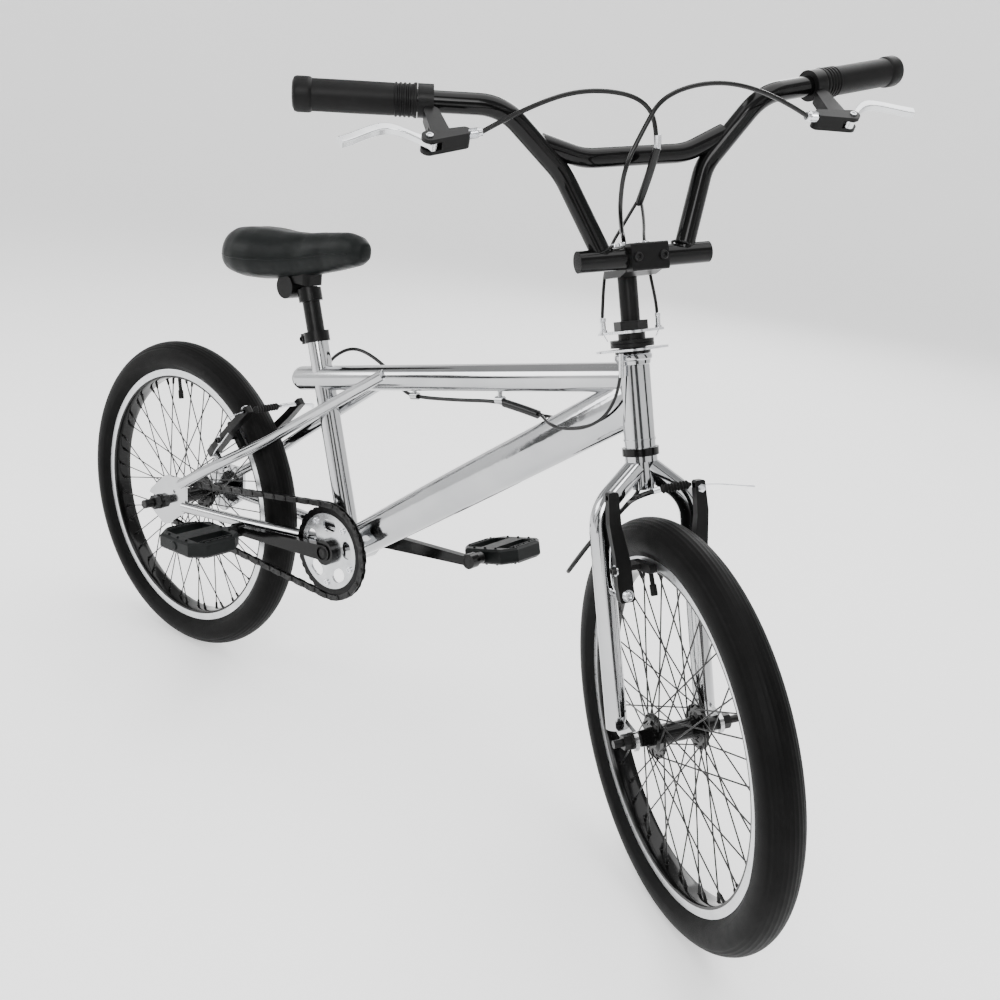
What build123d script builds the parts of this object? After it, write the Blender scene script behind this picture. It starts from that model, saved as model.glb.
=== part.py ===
from build123d import *

import os
from math import asin, atan2, cos, pi, radians, sin, tan

# A 20-inch freestyle bicycle. Units are millimetres. The origin is the centre of the rear axle,
# +X is ahead, +Y is the rider's left and +Z is up. The front end is turned to the right by STEER.

# ---------------------------------------------------------------- driving dimensions

TYRE_RADIUS = 254.0
TYRE_SECTION = 50.8
WHEELBASE = 968.0
HEAD_ANGLE = 74.8
FORK_OFFSET = 39.0
STEER = -32.2
SEAT_ANGLE = 71.0
CRANK_LENGTH = 172.5
CRANK_TURN = 185.6
BB_RISE = 37.0
CHAIN_PITCH = 12.7
CHAIN_LINKS = 86
RING_TEETH = 34
COG_TEETH = 16
CHAIN_LINE = 43.0
CRANK_SLANT = 16.0
CRANK_BOSS_OUTER = 54.0
PEDAL_LENGTH = 100.0
PEDAL_WIDTH = 90.0
PEDAL_THICKNESS = 22.0
PEDAL_MIDDLE = 139.0
PEDAL_TILT = {"left": 16.0, "right": 4.0}
SPOKES = 48
BAR_TUBE = 22.2
HUB_FLANGE = 27.6
RUNNING_GAP = 0.08

# ---------------------------------------------------------------- places worked out from them


def pitch_radius(teeth):
    """Radius of the circle that the chain's pins lie on."""
    return CHAIN_PITCH / (2 * sin(pi / teeth))


RING_PITCH_RADIUS = pitch_radius(RING_TEETH)
COG_PITCH_RADIUS = pitch_radius(COG_TEETH)


def chain_loop_length(centres):
    """Length of the chain's loop round the chainring and the cog."""
    slope = asin((RING_PITCH_RADIUS - COG_PITCH_RADIUS) / centres)
    wraps = (pi + 2 * slope) * RING_PITCH_RADIUS + (pi - 2 * slope) * COG_PITCH_RADIUS
    return 2 * centres * cos(slope) + wraps


CHAIN_CENTRES = 380.0
for _ in range(20):
    CHAIN_CENTRES += (CHAIN_LINKS * CHAIN_PITCH - chain_loop_length(CHAIN_CENTRES)) / 2

BB = Vector((CHAIN_CENTRES**2 - BB_RISE**2) ** 0.5, 0, BB_RISE)

STEER_AXIS = Vector(-cos(radians(HEAD_ANGLE)), 0, sin(radians(HEAD_ANGLE)))
STRAIGHT_AHEAD = Vector(sin(radians(HEAD_ANGLE)), 0, cos(radians(HEAD_ANGLE)))
FORK_FOOT = Vector(WHEELBASE, 0, 0) - STRAIGHT_AHEAD * FORK_OFFSET
STEERED_AHEAD = STRAIGHT_AHEAD.rotate(Axis((0, 0, 0), STEER_AXIS), STEER)

# The front end is drawn in the fork's own frame: x ahead, y left, z up the steering axis.
FORK = Plane(origin=FORK_FOOT, x_dir=STEERED_AHEAD, z_dir=STEER_AXIS)
FRAME_HEAD = Plane(origin=FORK_FOOT, x_dir=STRAIGHT_AHEAD, z_dir=STEER_AXIS)
FRONT_WHEEL = Plane(
    origin=FORK_FOOT + STEERED_AHEAD * FORK_OFFSET, x_dir=STEERED_AHEAD, z_dir=STEER_AXIS
)

SEAT_DIRECTION = Vector(-cos(radians(SEAT_ANGLE)), 0, sin(radians(SEAT_ANGLE)))
SEAT_TUBE_TOP = BB + SEAT_DIRECTION * 306

# The rear brake's own frame: x out behind the stays, y right, z up its arms.
REAR_BRAKE_PIVOT = Vector(116, 0, 121)
REAR_BRAKE_UP = Vector(0.685, 0, 0.729).normalized()
REAR_BRAKE = Plane(
    origin=REAR_BRAKE_PIVOT, x_dir=REAR_BRAKE_UP.cross(Vector(0, 1, 0)), z_dir=REAR_BRAKE_UP
)

BRAKE_PIVOT_OUT = 47.0
BRAKE_STUD = 4.0

# ---------------------------------------------------------------- helpers


def across(place, facing=1):
    """A plane square to the Y axis: x ahead, facing left or right."""
    return Plane(origin=(0, place, 0), x_dir=(1, 0, 0), z_dir=(0, facing, 0))


def save(piece, name, plane=Plane.XY):
    """Sets a finished piece in its place on the bicycle, labels it and writes it."""
    placed = piece.moved(plane.location)
    placed.label = name
    export_step(placed, f"parts/{name}.step")


def rod(points, diameter, bend=0.0):
    """A solid round bar along straight runs joined by bends."""
    with BuildPart() as bar:
        with BuildLine() as path:
            if len(points) == 2:
                Line(*points)
            else:
                FilletPolyline(*points, radius=bend)
        route = path.wires()[0]
        with BuildSketch(Plane(origin=route @ 0, z_dir=route % 0)):
            Circle(diameter / 2)
        sweep(path=route)
    return bar.part


def joined(*pieces):
    """One part that holds several pieces."""
    with BuildPart() as group:
        for piece in pieces:
            add(piece)
    return group.part


def cut(piece, *others):
    """A piece cut back to the surfaces of the others."""
    with BuildPart() as trimmed:
        add(piece)
        for other in others:
            add(other, mode=Mode.SUBTRACT)
    return trimmed.part


def both_sides(piece):
    """The piece and its mirror image on the other side of the middle plane."""
    with BuildPart() as pair:
        add(piece)
        mirror(about=Plane.XZ)
    return pair.part


def turned(profile, axis=Axis.Y):
    """A solid turned from a closed outline of (radius, place along the axis) points."""
    with BuildPart() as body:
        with BuildSketch(Plane.XY if axis == Axis.Y else Plane.XZ):
            with BuildLine():
                Polyline(*profile, close=True)
            make_face()
        revolve(axis=axis)
    return body.part


def collar(bottom, top, outer, bore=0.0, flats=0):
    """A ring or a nut round the steering axis, between two heights."""
    with BuildPart() as ring:
        with BuildSketch(Plane.XY.offset(bottom)):
            if flats:
                RegularPolygon(outer, flats)
            else:
                Circle(outer)
            if bore:
                Circle(bore, mode=Mode.SUBTRACT)
        extrude(amount=top - bottom)
    return ring.part


def cross_disc(inner, outer, radius, bore=0.0, flats=0):
    """A disc or a nut round the Y axis, from one place across the bicycle to another."""
    with BuildPart() as disc:
        with BuildSketch(across(inner)):
            if flats:
                RegularPolygon(radius, flats)
            else:
                Circle(radius)
            if bore:
                Circle(bore, mode=Mode.SUBTRACT)
        extrude(amount=outer - inner)
    return disc.part


def cable(points, diameter, name):
    """A cable along its route, each corner with the largest arc that its runs allow."""
    corners = []
    for before, here, after in zip(points, points[1:], points[2:]):
        arriving = Vector(here) - Vector(before)
        leaving = Vector(after) - Vector(here)
        half_turn = radians(arriving.get_angle(leaving)) / 2
        corners.append(0.45 * min(arriving.length, leaving.length) / tan(half_turn))
    print(name, "radii", [round(radius, 1) for radius in corners])
    return rod(points, diameter, corners)


# ---------------------------------------------------------------- wheels

RIM_BED = 195.0
RIM_EDGE = 210.0
RIM_HALF = 15.5
SPOKE_DIAMETER = 1.9
SPOKE_CIRCLE = 23.0
SPOKE_WIND = 60.0
SPOKE_OUTSIDE = 3.8
SPOKE_INSIDE = -2.65
NIPPLE_OFFSET = 2.5


def tyre():
    """A casing with a tread, open towards the rim."""
    middle = TYRE_RADIUS - TYRE_SECTION / 2
    outer = TYRE_SECTION / 2
    inner = outer - 3.5
    shoulder = RIM_EDGE + 0.3
    lining = shoulder + 3.2
    outer_half = (outer**2 - (middle - shoulder) ** 2) ** 0.5
    inner_half = (inner**2 - (middle - lining) ** 2) ** 0.5
    with BuildPart() as casing:
        with BuildSketch():
            with BuildLine():
                ThreePointArc(
                    (shoulder, outer_half), (TYRE_RADIUS, 0), (shoulder, -outer_half)
                )
                Polyline(
                    (shoulder, -outer_half),
                    (shoulder, -12.8),
                    (RIM_BED + 4, -12.8),
                    (RIM_BED + 4, -9.0),
                    (lining, -9.0),
                    (lining, -inner_half),
                )
                ThreePointArc(
                    (lining, -inner_half), (middle + inner, 0), (lining, inner_half)
                )
                Polyline(
                    (lining, inner_half),
                    (lining, 9.0),
                    (RIM_BED + 4, 9.0),
                    (RIM_BED + 4, 12.8),
                    (shoulder, 12.8),
                    (shoulder, outer_half),
                )
            make_face()
        revolve(axis=Axis.Y)
    return casing.part


def rim():
    """A channel with a thin bed and two side walls that the brake pads press on."""
    wall = RIM_HALF - 2.4
    return turned(
        [
            (RIM_BED, -RIM_HALF),
            (RIM_EDGE, -RIM_HALF),
            (RIM_EDGE, -wall),
            (RIM_BED + 3, -wall),
            (RIM_BED + 3, wall),
            (RIM_EDGE, wall),
            (RIM_EDGE, RIM_HALF),
            (RIM_BED, RIM_HALF),
        ]
    )


def spokes():
    """Straight spokes: on each flange half of them lead and lie outside, half trail and lie inside."""
    step = 360 / SPOKES
    copies = SPOKES // 4
    reach = RIM_BED - 0.3
    with BuildPart() as laced:
        for side in (1, -1):
            for lead in (1, -1):
                first = (step if side > 0 else 0) + (2 * step if lead < 0 else 0)
                hub_place = side * (HUB_FLANGE + (SPOKE_OUTSIDE if lead > 0 else SPOKE_INSIDE))
                places = []
                for turn in range(copies):
                    at_rim = radians(first + turn * 360 / copies)
                    at_hub = at_rim - radians(lead * SPOKE_WIND)
                    start = Vector(SPOKE_CIRCLE * cos(at_hub), hub_place, SPOKE_CIRCLE * sin(at_hub))
                    end = Vector(reach * cos(at_rim), side * NIPPLE_OFFSET, reach * sin(at_rim))
                    places.append(Plane(origin=start, z_dir=end - start).location)
                with Locations(*places):
                    Cylinder(
                        SPOKE_DIAMETER / 2,
                        (end - start).length,
                        align=(Align.CENTER, Align.CENTER, Align.MIN),
                    )
    return laced.part


def hub(axle_radius, end, driver=0.0):
    """A large-flange hub shell that turns on its axle; a rear one has a boss for the freewheel."""
    flange = 27.0
    half = 1.6
    right = -end
    outline = [(axle_radius + RUNNING_GAP, right)]
    if driver:
        outline += [(driver, right), (driver, -HUB_FLANGE - 6), (16, -HUB_FLANGE - 6)]
    else:
        outline += [(9.5, right), (11, -HUB_FLANGE - 4), (14, -HUB_FLANGE - 4)]
    for side in (-1, 1):
        near = side * HUB_FLANGE - half
        far = side * HUB_FLANGE + half
        outline += [(14, near - 2), (18.5, near), (flange, near)]
        outline += [(flange, far), (18.5, far), (14, far + 2)]
        if side < 0:
            outline += [(12, -16), (12, 16)]
    outline += [(14, HUB_FLANGE + 4), (11, HUB_FLANGE + 4), (9.5, end)]
    outline += [(axle_radius + RUNNING_GAP, end)]
    return turned(outline)


def axle(radius, shoulder, nut_inner, nut_outer, end, cone):
    """An axle with a locknut at each end of the hub, cut down to its thread under the nuts."""
    return joined(
        cross_disc(-nut_inner, nut_inner, radius),
        both_sides(cross_disc(nut_inner, nut_outer, radius - THREAD_STEP)),
        both_sides(cross_disc(nut_outer, end, radius)),
        both_sides(cross_disc(shoulder - 5, shoulder, cone)),
    )


def axle_nuts(radius, inner, outer, across):
    """A flanged hexagon nut on each end of an axle, just short of the end of its thread."""
    bore = radius - THREAD_STEP + THREAD_GAP
    nut = joined(
        cross_disc(inner, inner + 2.5, across * 1.05, bore),
        cross_disc(inner + 2.5, outer - 0.5, across, bore, flats=6),
    )
    return both_sides(nut)


REAR_AXLE_RADIUS = 7.0
FRONT_AXLE_RADIUS = 4.75
REAR_AXLE_END = 90.0
FRONT_AXLE_END = 80.0
REAR_NUT_OUTER = 74.0
FRONT_NUT_OUTER = 69.0
THREAD_STEP = 0.5
THREAD_GAP = 0.03
REAR_DROPOUT_INNER = 55.0
DROPOUT_PLATE = 5.0
FORK_DROPOUT_INNER = 52.0


def make_wheels():
    for name, place in (("rear", Plane.XY), ("front", FRONT_WHEEL)):
        save(tyre(), f"{name}_tyre", place)
        save(rim(), f"{name}_rim", place)
        save(spokes(), f"{name}_spokes", place)
    rear_face = REAR_DROPOUT_INNER + DROPOUT_PLATE
    front_face = FORK_DROPOUT_INNER + DROPOUT_PLATE
    save(hub(REAR_AXLE_RADIUS, REAR_DROPOUT_INNER - 5.4, driver=17.0), "rear_hub")
    save(hub(FRONT_AXLE_RADIUS, FORK_DROPOUT_INNER - 5.4), "front_hub", FRONT_WHEEL)
    rear_rod = axle(
        REAR_AXLE_RADIUS, REAR_DROPOUT_INNER, rear_face, REAR_NUT_OUTER, REAR_AXLE_END, 11
    )
    rear_nuts = axle_nuts(REAR_AXLE_RADIUS, rear_face, REAR_NUT_OUTER, 11.5)
    save(joined(rear_rod, rear_nuts), "rear_axle_and_nuts")
    front_rod = axle(
        FRONT_AXLE_RADIUS, FORK_DROPOUT_INNER, front_face, FRONT_NUT_OUTER, FRONT_AXLE_END, 8.5
    )
    front_nuts = axle_nuts(FRONT_AXLE_RADIUS, front_face, FRONT_NUT_OUTER, 9.5)
    save(joined(front_rod, front_nuts), "front_axle_and_nuts", FRONT_WHEEL)


# ---------------------------------------------------------------- frame

HEAD_TUBE = (333, 441)
HEAD_TUBE_DIAMETER = 36.0
TOP_TUBE_DIAMETER = 35.0
TOP_TUBE_REAR = Vector(262, 0, 259)
TOP_TUBE_FRONT = FRAME_HEAD.from_local_coords(Vector(0, 0, 413.5))
DOWN_TUBE_HEAD = FRAME_HEAD.from_local_coords(Vector(0, 0, 389))
SEAT_TUBE_DIAMETER = 30.0
BB_SHELL_RADIUS = 25.0
BB_SHELL_HALF = 34.0
SEAT_STAY = [(52, 57.5, 44), (132, 56.5, 96), (222, 33, 156), (436, 14, 305)]
CHAIN_STAY = [(60, 56.5, 8), (190, 47, 22), (352, 24, 40)]
SEAT_STAY_DIAMETER = 16.0
CHAIN_STAY_DIAMETER = 17.0
STAY_BEND = 300.0
TUBE_WALL = 1.8


def top_tube_solid():
    """The top tube's outer shape, with a rounded closed end behind the seat tube."""
    along = TOP_TUBE_FRONT - TOP_TUBE_REAR
    with BuildPart() as solid:
        with BuildSketch(Plane(origin=TOP_TUBE_REAR, z_dir=along)):
            Circle(TOP_TUBE_DIAMETER / 2)
        extrude(amount=along.length)
        with Locations(TOP_TUBE_REAR):
            Sphere(TOP_TUBE_DIAMETER / 2)
    return solid.part


# Each section of the down tube: its share of the length, its width and its depth.
DOWN_TUBE = [(0.0, 48, 45), (0.25, 46, 53), (0.7, 42, 56), (1.0, 32, 58)]


def down_tube_solid(sections, wall=0.0):
    """The down tube: deep all along, wide at the bottom bracket and narrow at the head."""
    along = DOWN_TUBE_HEAD - BB
    with BuildPart() as solid:
        for share, width, depth in sections:
            section = Plane(origin=BB + along * share, x_dir=(0, 1, 0), z_dir=along)
            with BuildSketch(section):
                Ellipse(width / 2 - wall, depth / 2 - wall)
        loft()
    return solid.part


def head_tube_solid():
    return collar(*HEAD_TUBE, HEAD_TUBE_DIAMETER / 2).moved(FRAME_HEAD.location)


def seat_tube_solid():
    return rod([BB, SEAT_TUBE_TOP], SEAT_TUBE_DIAMETER)


def shell_solid():
    return cross_disc(-BB_SHELL_HALF, BB_SHELL_HALF, BB_SHELL_RADIUS).moved(Location(BB))


def stay_solid(points, diameter):
    """A pair of stays that sweep through gentle bends."""
    return both_sides(rod(points, diameter, STAY_BEND))


def stay_brake_boss():
    """The pivot studs that the rear brake's arms turn on, standing out of the seat stays."""
    with BuildPart() as boss:
        with BuildSketch(Plane.YZ.offset(-42)):
            with Locations((BRAKE_PIVOT_OUT, 0)):
                Circle(6)
        extrude(amount=29)
        with BuildSketch(Plane.YZ.offset(-13)):
            with Locations((BRAKE_PIVOT_OUT, 0)):
                Circle(BRAKE_STUD)
        extrude(amount=13)
    return both_sides(boss.part).moved(REAR_BRAKE.location)


def rear_dropout():
    """Rounded plates that join the stays, each with a slot for the axle that opens rearward."""
    with BuildPart() as plate:
        with BuildSketch(across(REAR_DROPOUT_INNER + DROPOUT_PLATE, -1)):
            with Locations((-6, 0)):
                Circle(24)
            with Locations((22, 30)):
                Circle(20)
            with Locations((14, -16)):
                Circle(18)
            with Locations((54, 42), (56, 6)):
                Circle(11)
            make_hull()
            with Locations((-20, 0)):
                Rectangle(40, 2 * REAR_AXLE_RADIUS + 0.4, mode=Mode.SUBTRACT)
            Circle(REAR_AXLE_RADIUS + 0.2, mode=Mode.SUBTRACT)
            with Locations((38, 28)):
                Circle(3, mode=Mode.SUBTRACT)
        extrude(amount=DROPOUT_PLATE)
    return both_sides(plate.part)


def make_frame():
    top_solid = top_tube_solid()
    head_solid = head_tube_solid()
    seat_solid = seat_tube_solid()
    shell = shell_solid()
    down_solid = down_tube_solid(DOWN_TUBE)
    seat_stay_solid = stay_solid(SEAT_STAY, SEAT_STAY_DIAMETER)
    chain_stay_solid = stay_solid(CHAIN_STAY, CHAIN_STAY_DIAMETER)
    dropouts = rear_dropout()

    head_bore = collar(HEAD_TUBE[0] - 1, HEAD_TUBE[1] + 1, 15.5).moved(FRAME_HEAD.location)
    save(cut(head_solid, head_bore), "head_tube")

    along = TOP_TUBE_FRONT - TOP_TUBE_REAR
    top_bore = rod([TOP_TUBE_REAR + along * 0.1, TOP_TUBE_FRONT], TOP_TUBE_DIAMETER - 2 * TUBE_WALL)
    save(cut(top_solid, top_bore, seat_solid, head_solid), "top_tube")

    down_bore = down_tube_solid(DOWN_TUBE[:3], 2 * TUBE_WALL)
    save(cut(down_solid, down_bore, shell, seat_solid, head_solid, top_solid), "down_tube")

    seat_bore = rod([BB, SEAT_TUBE_TOP + SEAT_DIRECTION], SEAT_TUBE_DIAMETER - 4.6)
    save(cut(seat_solid, seat_bore, shell), "seat_tube")

    bb_bore = cross_disc(-BB_SHELL_HALF - 1, BB_SHELL_HALF + 1, 20.5).moved(Location(BB))
    save(cut(shell, bb_bore), "bottom_bracket_shell")
    cup = joined(cross_disc(22, 34, 20.4, 9.58), cross_disc(34, 39.5, 22, 9.58))
    save(both_sides(cup).moved(Location(BB)), "bottom_bracket_cups")

    boss_pair = stay_brake_boss()
    stays = cut(seat_stay_solid, top_solid, seat_solid)
    save(joined(stays, cut(boss_pair, seat_stay_solid)), "seat_stays")
    lower_stays = cut(chain_stay_solid, shell, seat_solid, down_solid)
    save(cut(joined(lower_stays, dropouts), seat_stay_solid), "chain_stays_and_dropouts")

    lower_cup = joined(collar(324, 333, 21.5, 13.4), collar(333, 341, 15.4, 13.4))
    upper_cup = joined(collar(441, 444, 20.5, 13.4), collar(433, 441, 15.4, 13.4))
    save(joined(lower_cup, upper_cup), "headset_cups", FRAME_HEAD)

    with BuildPart() as collar_clamp:
        with BuildSketch(Plane(origin=SEAT_TUBE_TOP - SEAT_DIRECTION * 9, z_dir=SEAT_DIRECTION)):
            Circle(SEAT_TUBE_DIAMETER / 2 + 3.2)
            with Locations((-SEAT_TUBE_DIAMETER / 2 - 5, 0)):
                Rectangle(12, 14)
            Circle(SEAT_TUBE_DIAMETER / 2, mode=Mode.SUBTRACT)
            with Locations((-SEAT_TUBE_DIAMETER / 2 - 6, 0)):
                Rectangle(16, 1.6, mode=Mode.SUBTRACT)
        extrude(amount=15)
    save(collar_clamp.part, "seat_collar")

    with BuildPart() as guides:
        for x, z in ((630, 314), (484, 284)):
            with BuildSketch(Plane(origin=(x - 6, 0, z), z_dir=(0.974, 0, 0.226))):
                Circle(5)
                Circle(2.6, mode=Mode.SUBTRACT)
            extrude(amount=12)
    guide_feet = []
    for x, z in ((630, 314), (484, 284)):
        foot = Vector(x, 0, z)
        guide_feet.append(rod([foot + Vector(-1, 0, 4.4), foot + Vector(-2.5, 0, 16)], 6))
    guide_solid = joined(guides.part, *guide_feet)
    save(cut(guide_solid, top_solid, rear_housing()), "cable_guides")


# ---------------------------------------------------------------- drivetrain


def chainring():
    """A toothed ring on five arms; the teeth stop just short of the chain's bushings."""
    tip = RING_PITCH_RADIUS - 3.0
    with BuildPart() as ring:
        with BuildSketch(across(1.6 - CHAIN_LINE, -1)):
            Circle(tip)
            with PolarLocations(RING_PITCH_RADIUS, RING_TEETH):
                Circle(4.6, mode=Mode.SUBTRACT)
            with PolarLocations(38, 5, start_angle=20):
                SlotOverall(26, 19, rotation=90, mode=Mode.SUBTRACT)
            Circle(9.5, mode=Mode.SUBTRACT)
        extrude(amount=3.2)
    return ring.part


def crank_arm(side, end):
    """One arm that slants out from a wide boss on the spindle to an eye for the pedal."""
    boss_inner = CHAIN_LINE + 1.8 if side < 0 else 41.0
    along = end + Vector(0, side * CRANK_SLANT, 0)
    outward = along.cross(Vector(0, side, 0)).cross(along).normalized()
    web = Plane(origin=(0, side * 46, 0), x_dir=along, z_dir=outward)
    eye = across(side * 62, side)
    local_end = eye.to_local_coords(Vector(*end) + Vector(0, side * 62, 0))
    with BuildPart() as arm:
        with BuildSketch(across(side * boss_inner, side)):
            Circle(18.5)
        extrude(amount=CRANK_BOSS_OUTER - boss_inner)
        with BuildSketch(eye):
            with Locations((local_end.X, local_end.Y)):
                Circle(11)
        extrude(amount=14)
        with BuildSketch(web):
            Circle(11.5)
            with Locations((along.length, 0)):
                Circle(6.5)
            make_hull()
        extrude(amount=11)
        with BuildSketch(across(side * 30, side)):
            Circle(9.5)
        extrude(amount=60, mode=Mode.SUBTRACT)
        with BuildSketch(eye.offset(-5)):
            with Locations((local_end.X, local_end.Y)):
                Circle(7)
        extrude(amount=30, mode=Mode.SUBTRACT)
    return arm.part


def pedal_body(side):
    """A platform with eight sides, open before and behind the barrel that its axle runs in."""
    half = PEDAL_LENGTH / 2
    reach = PEDAL_WIDTH / 2
    with BuildPart() as body:
        with BuildSketch(Plane.XY.offset(-PEDAL_THICKNESS / 2)):
            Rectangle(PEDAL_LENGTH, PEDAL_WIDTH - 40)
            Rectangle(PEDAL_LENGTH - 34, PEDAL_WIDTH)
            make_hull()
            with Locations((-half / 2, 0), (half / 2, 0)):
                Rectangle(half - 27, 62, mode=Mode.SUBTRACT)
        extrude(amount=PEDAL_THICKNESS)
        chamfer(body.faces().sort_by(Axis.Z)[-1].outer_wire().edges(), 3)
        chamfer(body.faces().sort_by(Axis.Z)[0].outer_wire().edges(), 3)
        with BuildSketch(across(-side * (reach + 6), side)):
            Circle(5 + RUNNING_GAP)
        extrude(amount=PEDAL_WIDTH + 3.5, mode=Mode.SUBTRACT)
    return body.part


def pedal_axle(side):
    """The pedal's spindle: a threaded end in the crank arm, a shoulder and the plain part."""
    return joined(
        cross_disc(62, 76, 7),
        cross_disc(76, PEDAL_MIDDLE - PEDAL_WIDTH / 2 - 4, 8.5),
        cross_disc(PEDAL_MIDDLE - PEDAL_WIDTH / 2 - 4, PEDAL_MIDDLE + PEDAL_WIDTH / 2 - 3.5, 5),
    ).moved(Location((0, 0, 0), (0, 0, 0 if side > 0 else 180)))


def chain_place(distance):
    """A point of the chain's loop and the loop's direction there, from a distance along it."""
    slope = asin((RING_PITCH_RADIUS - COG_PITCH_RADIUS) / CHAIN_CENTRES)
    rise = atan2(BB.Z, BB.X)
    top = rise + pi / 2 + slope
    run = CHAIN_CENTRES * cos(slope)
    ring_wrap = (pi + 2 * slope) * RING_PITCH_RADIUS
    cog_wrap = (pi - 2 * slope) * COG_PITCH_RADIUS
    if distance < ring_wrap:
        turn = rise - pi / 2 - slope + distance / RING_PITCH_RADIUS
        return BB + Vector(cos(turn), 0, sin(turn)) * RING_PITCH_RADIUS
    distance -= ring_wrap
    ring_leave = BB + Vector(cos(top), 0, sin(top)) * RING_PITCH_RADIUS
    cog_meet = Vector(cos(top), 0, sin(top)) * COG_PITCH_RADIUS
    if distance < run:
        return ring_leave + (cog_meet - ring_leave) * (distance / run)
    distance -= run
    if distance < cog_wrap:
        turn = top + distance / COG_PITCH_RADIUS
        return Vector(cos(turn), 0, sin(turn)) * COG_PITCH_RADIUS
    distance -= cog_wrap
    low = rise - pi / 2 - slope
    cog_leave = Vector(cos(low), 0, sin(low)) * COG_PITCH_RADIUS
    ring_meet = BB + Vector(cos(low), 0, sin(low)) * RING_PITCH_RADIUS
    return cog_leave + (ring_meet - cog_leave) * (distance / run)


def chain_link(inner):
    """One link, with its pair of plates; an inner one has two bushings, an outer one two pins."""
    reach = CHAIN_PITCH / 2
    near = 1.75 if inner else 2.95
    with BuildPart() as link:
        with BuildSketch(across(near)):
            SlotCenterToCenter(CHAIN_PITCH, 8.0)
        extrude(amount=1.0)
        mirror(about=Plane.XZ)
        half = near if inner else 4.4
        with BuildSketch(across(-half)):
            with Locations((-reach, 0), (reach, 0)):
                Circle(2.5 if inner else 1.2)
        extrude(amount=2 * half)
        if inner:
            with BuildSketch(across(-5)):
                with Locations((-reach, 0), (reach, 0)):
                    Circle(1.35)
            extrude(amount=10, mode=Mode.SUBTRACT)
    return link.part


def chain():
    """The closed chain: inner and outer links in turn, all round the chainring and the cog."""
    loop = chain_loop_length(CHAIN_CENTRES)
    links = {True: chain_link(True), False: chain_link(False)}
    placed = []
    for count in range(CHAIN_LINKS):
        here = chain_place(count * loop / CHAIN_LINKS)
        after = chain_place((count + 1) % CHAIN_LINKS * loop / CHAIN_LINKS)
        middle = (here + after) * 0.5 - Vector(0, CHAIN_LINE, 0)
        seat = Plane(origin=middle, x_dir=after - here, z_dir=(after - here).cross(Vector(0, 1, 0)))
        placed.append(links[count % 2 == 0].moved(seat.location))
    return Compound(children=placed)


def freewheel():
    """A sixteen-tooth cog on a body that turns on the rear hub's boss."""
    with BuildPart() as body:
        with BuildSketch(across(1.6 - CHAIN_LINE, -1)):
            Circle(COG_PITCH_RADIUS - 3.0)
            with PolarLocations(COG_PITCH_RADIUS, COG_TEETH):
                Circle(4.6, mode=Mode.SUBTRACT)
        extrude(amount=3.2)
        with BuildSketch(across(-35.5, -1)):
            Circle(24)
        extrude(amount=13)
        with BuildSketch(across(-30, -1)):
            Circle(17 + RUNNING_GAP)
        extrude(amount=30, mode=Mode.SUBTRACT)
    return body.part


def make_drivetrain():
    at_bb = Plane(origin=BB)
    turn = radians(CRANK_TURN)
    right_end = Vector(cos(turn), 0, sin(turn)) * CRANK_LENGTH
    left_end = right_end * -1
    save(chainring(), "chainring", at_bb)
    spindle = cross_disc(-CRANK_BOSS_OUTER, CRANK_BOSS_OUTER, 9.45)
    save(joined(spindle, crank_arm(-1, right_end), crank_arm(1, left_end)), "cranks", at_bb)
    axles = joined(pedal_axle(-1).moved(Location(right_end)), pedal_axle(1).moved(Location(left_end)))
    save(axles, "pedal_axles", at_bb)
    for side, name, end in ((-1, "right", right_end), (1, "left", left_end)):
        middle = BB + end + Vector(0, side * PEDAL_MIDDLE, 0)
        tilt = radians(PEDAL_TILT[name])
        level = Plane(origin=middle, x_dir=(cos(tilt), 0, sin(tilt)), z_dir=(-sin(tilt), 0, cos(tilt)))
        save(pedal_body(side), f"pedal_{name}", level)
    save(freewheel(), "freewheel")
    save(chain(), "chain")


# ---------------------------------------------------------------- fork and headset

STEERER_RADIUS = 12.7
STEERER_BORE = 11.15
LEG_DIAMETER = 26.0
LEG_SPREAD = 58.0
BRAKE_PIVOT = Vector(40, BRAKE_PIVOT_OUT, 171)
FRONT_BRAKE = Plane(
    origin=FORK.from_local_coords(Vector(BRAKE_PIVOT.X, 0, BRAKE_PIVOT.Z)),
    x_dir=STEERED_AHEAD,
    z_dir=STEER_AXIS,
)


def fork_legs():
    """Two legs that curve out of the crown, with plates for the axle and studs for the brake."""
    leg = rod([(0, 6, 311), (0, LEG_SPREAD, 266), (0, LEG_SPREAD, 4)], LEG_DIAMETER, 52)
    with BuildPart() as plate:
        with BuildSketch(across(FORK_DROPOUT_INNER + DROPOUT_PLATE, -1)):
            with Locations((FORK_OFFSET, 0)):
                Circle(13)
            with Locations((2, 12)):
                Circle(10)
            with Locations((2, 2)):
                Circle(8)
            make_hull()
            with Locations((FORK_OFFSET, 0)):
                Circle(FRONT_AXLE_RADIUS + 0.15, mode=Mode.SUBTRACT)
            with Locations((FORK_OFFSET, -10)):
                Rectangle(2 * FRONT_AXLE_RADIUS + 0.3, 20, mode=Mode.SUBTRACT)
        extrude(amount=DROPOUT_PLATE)
    with BuildPart() as stud:
        with BuildSketch(Plane.YZ):
            with Locations((BRAKE_PIVOT.Y + 3, BRAKE_PIVOT.Z)):
                Circle(6.5)
        extrude(amount=27)
        with BuildSketch(Plane.YZ.offset(27)):
            with Locations((BRAKE_PIVOT.Y, BRAKE_PIVOT.Z)):
                Circle(BRAKE_STUD)
        extrude(amount=13.5)
    steerer = collar(280, 480, STEERER_RADIUS)
    side = cut(joined(leg, plate.part, stud.part), steerer)
    return both_sides(side)


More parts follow.
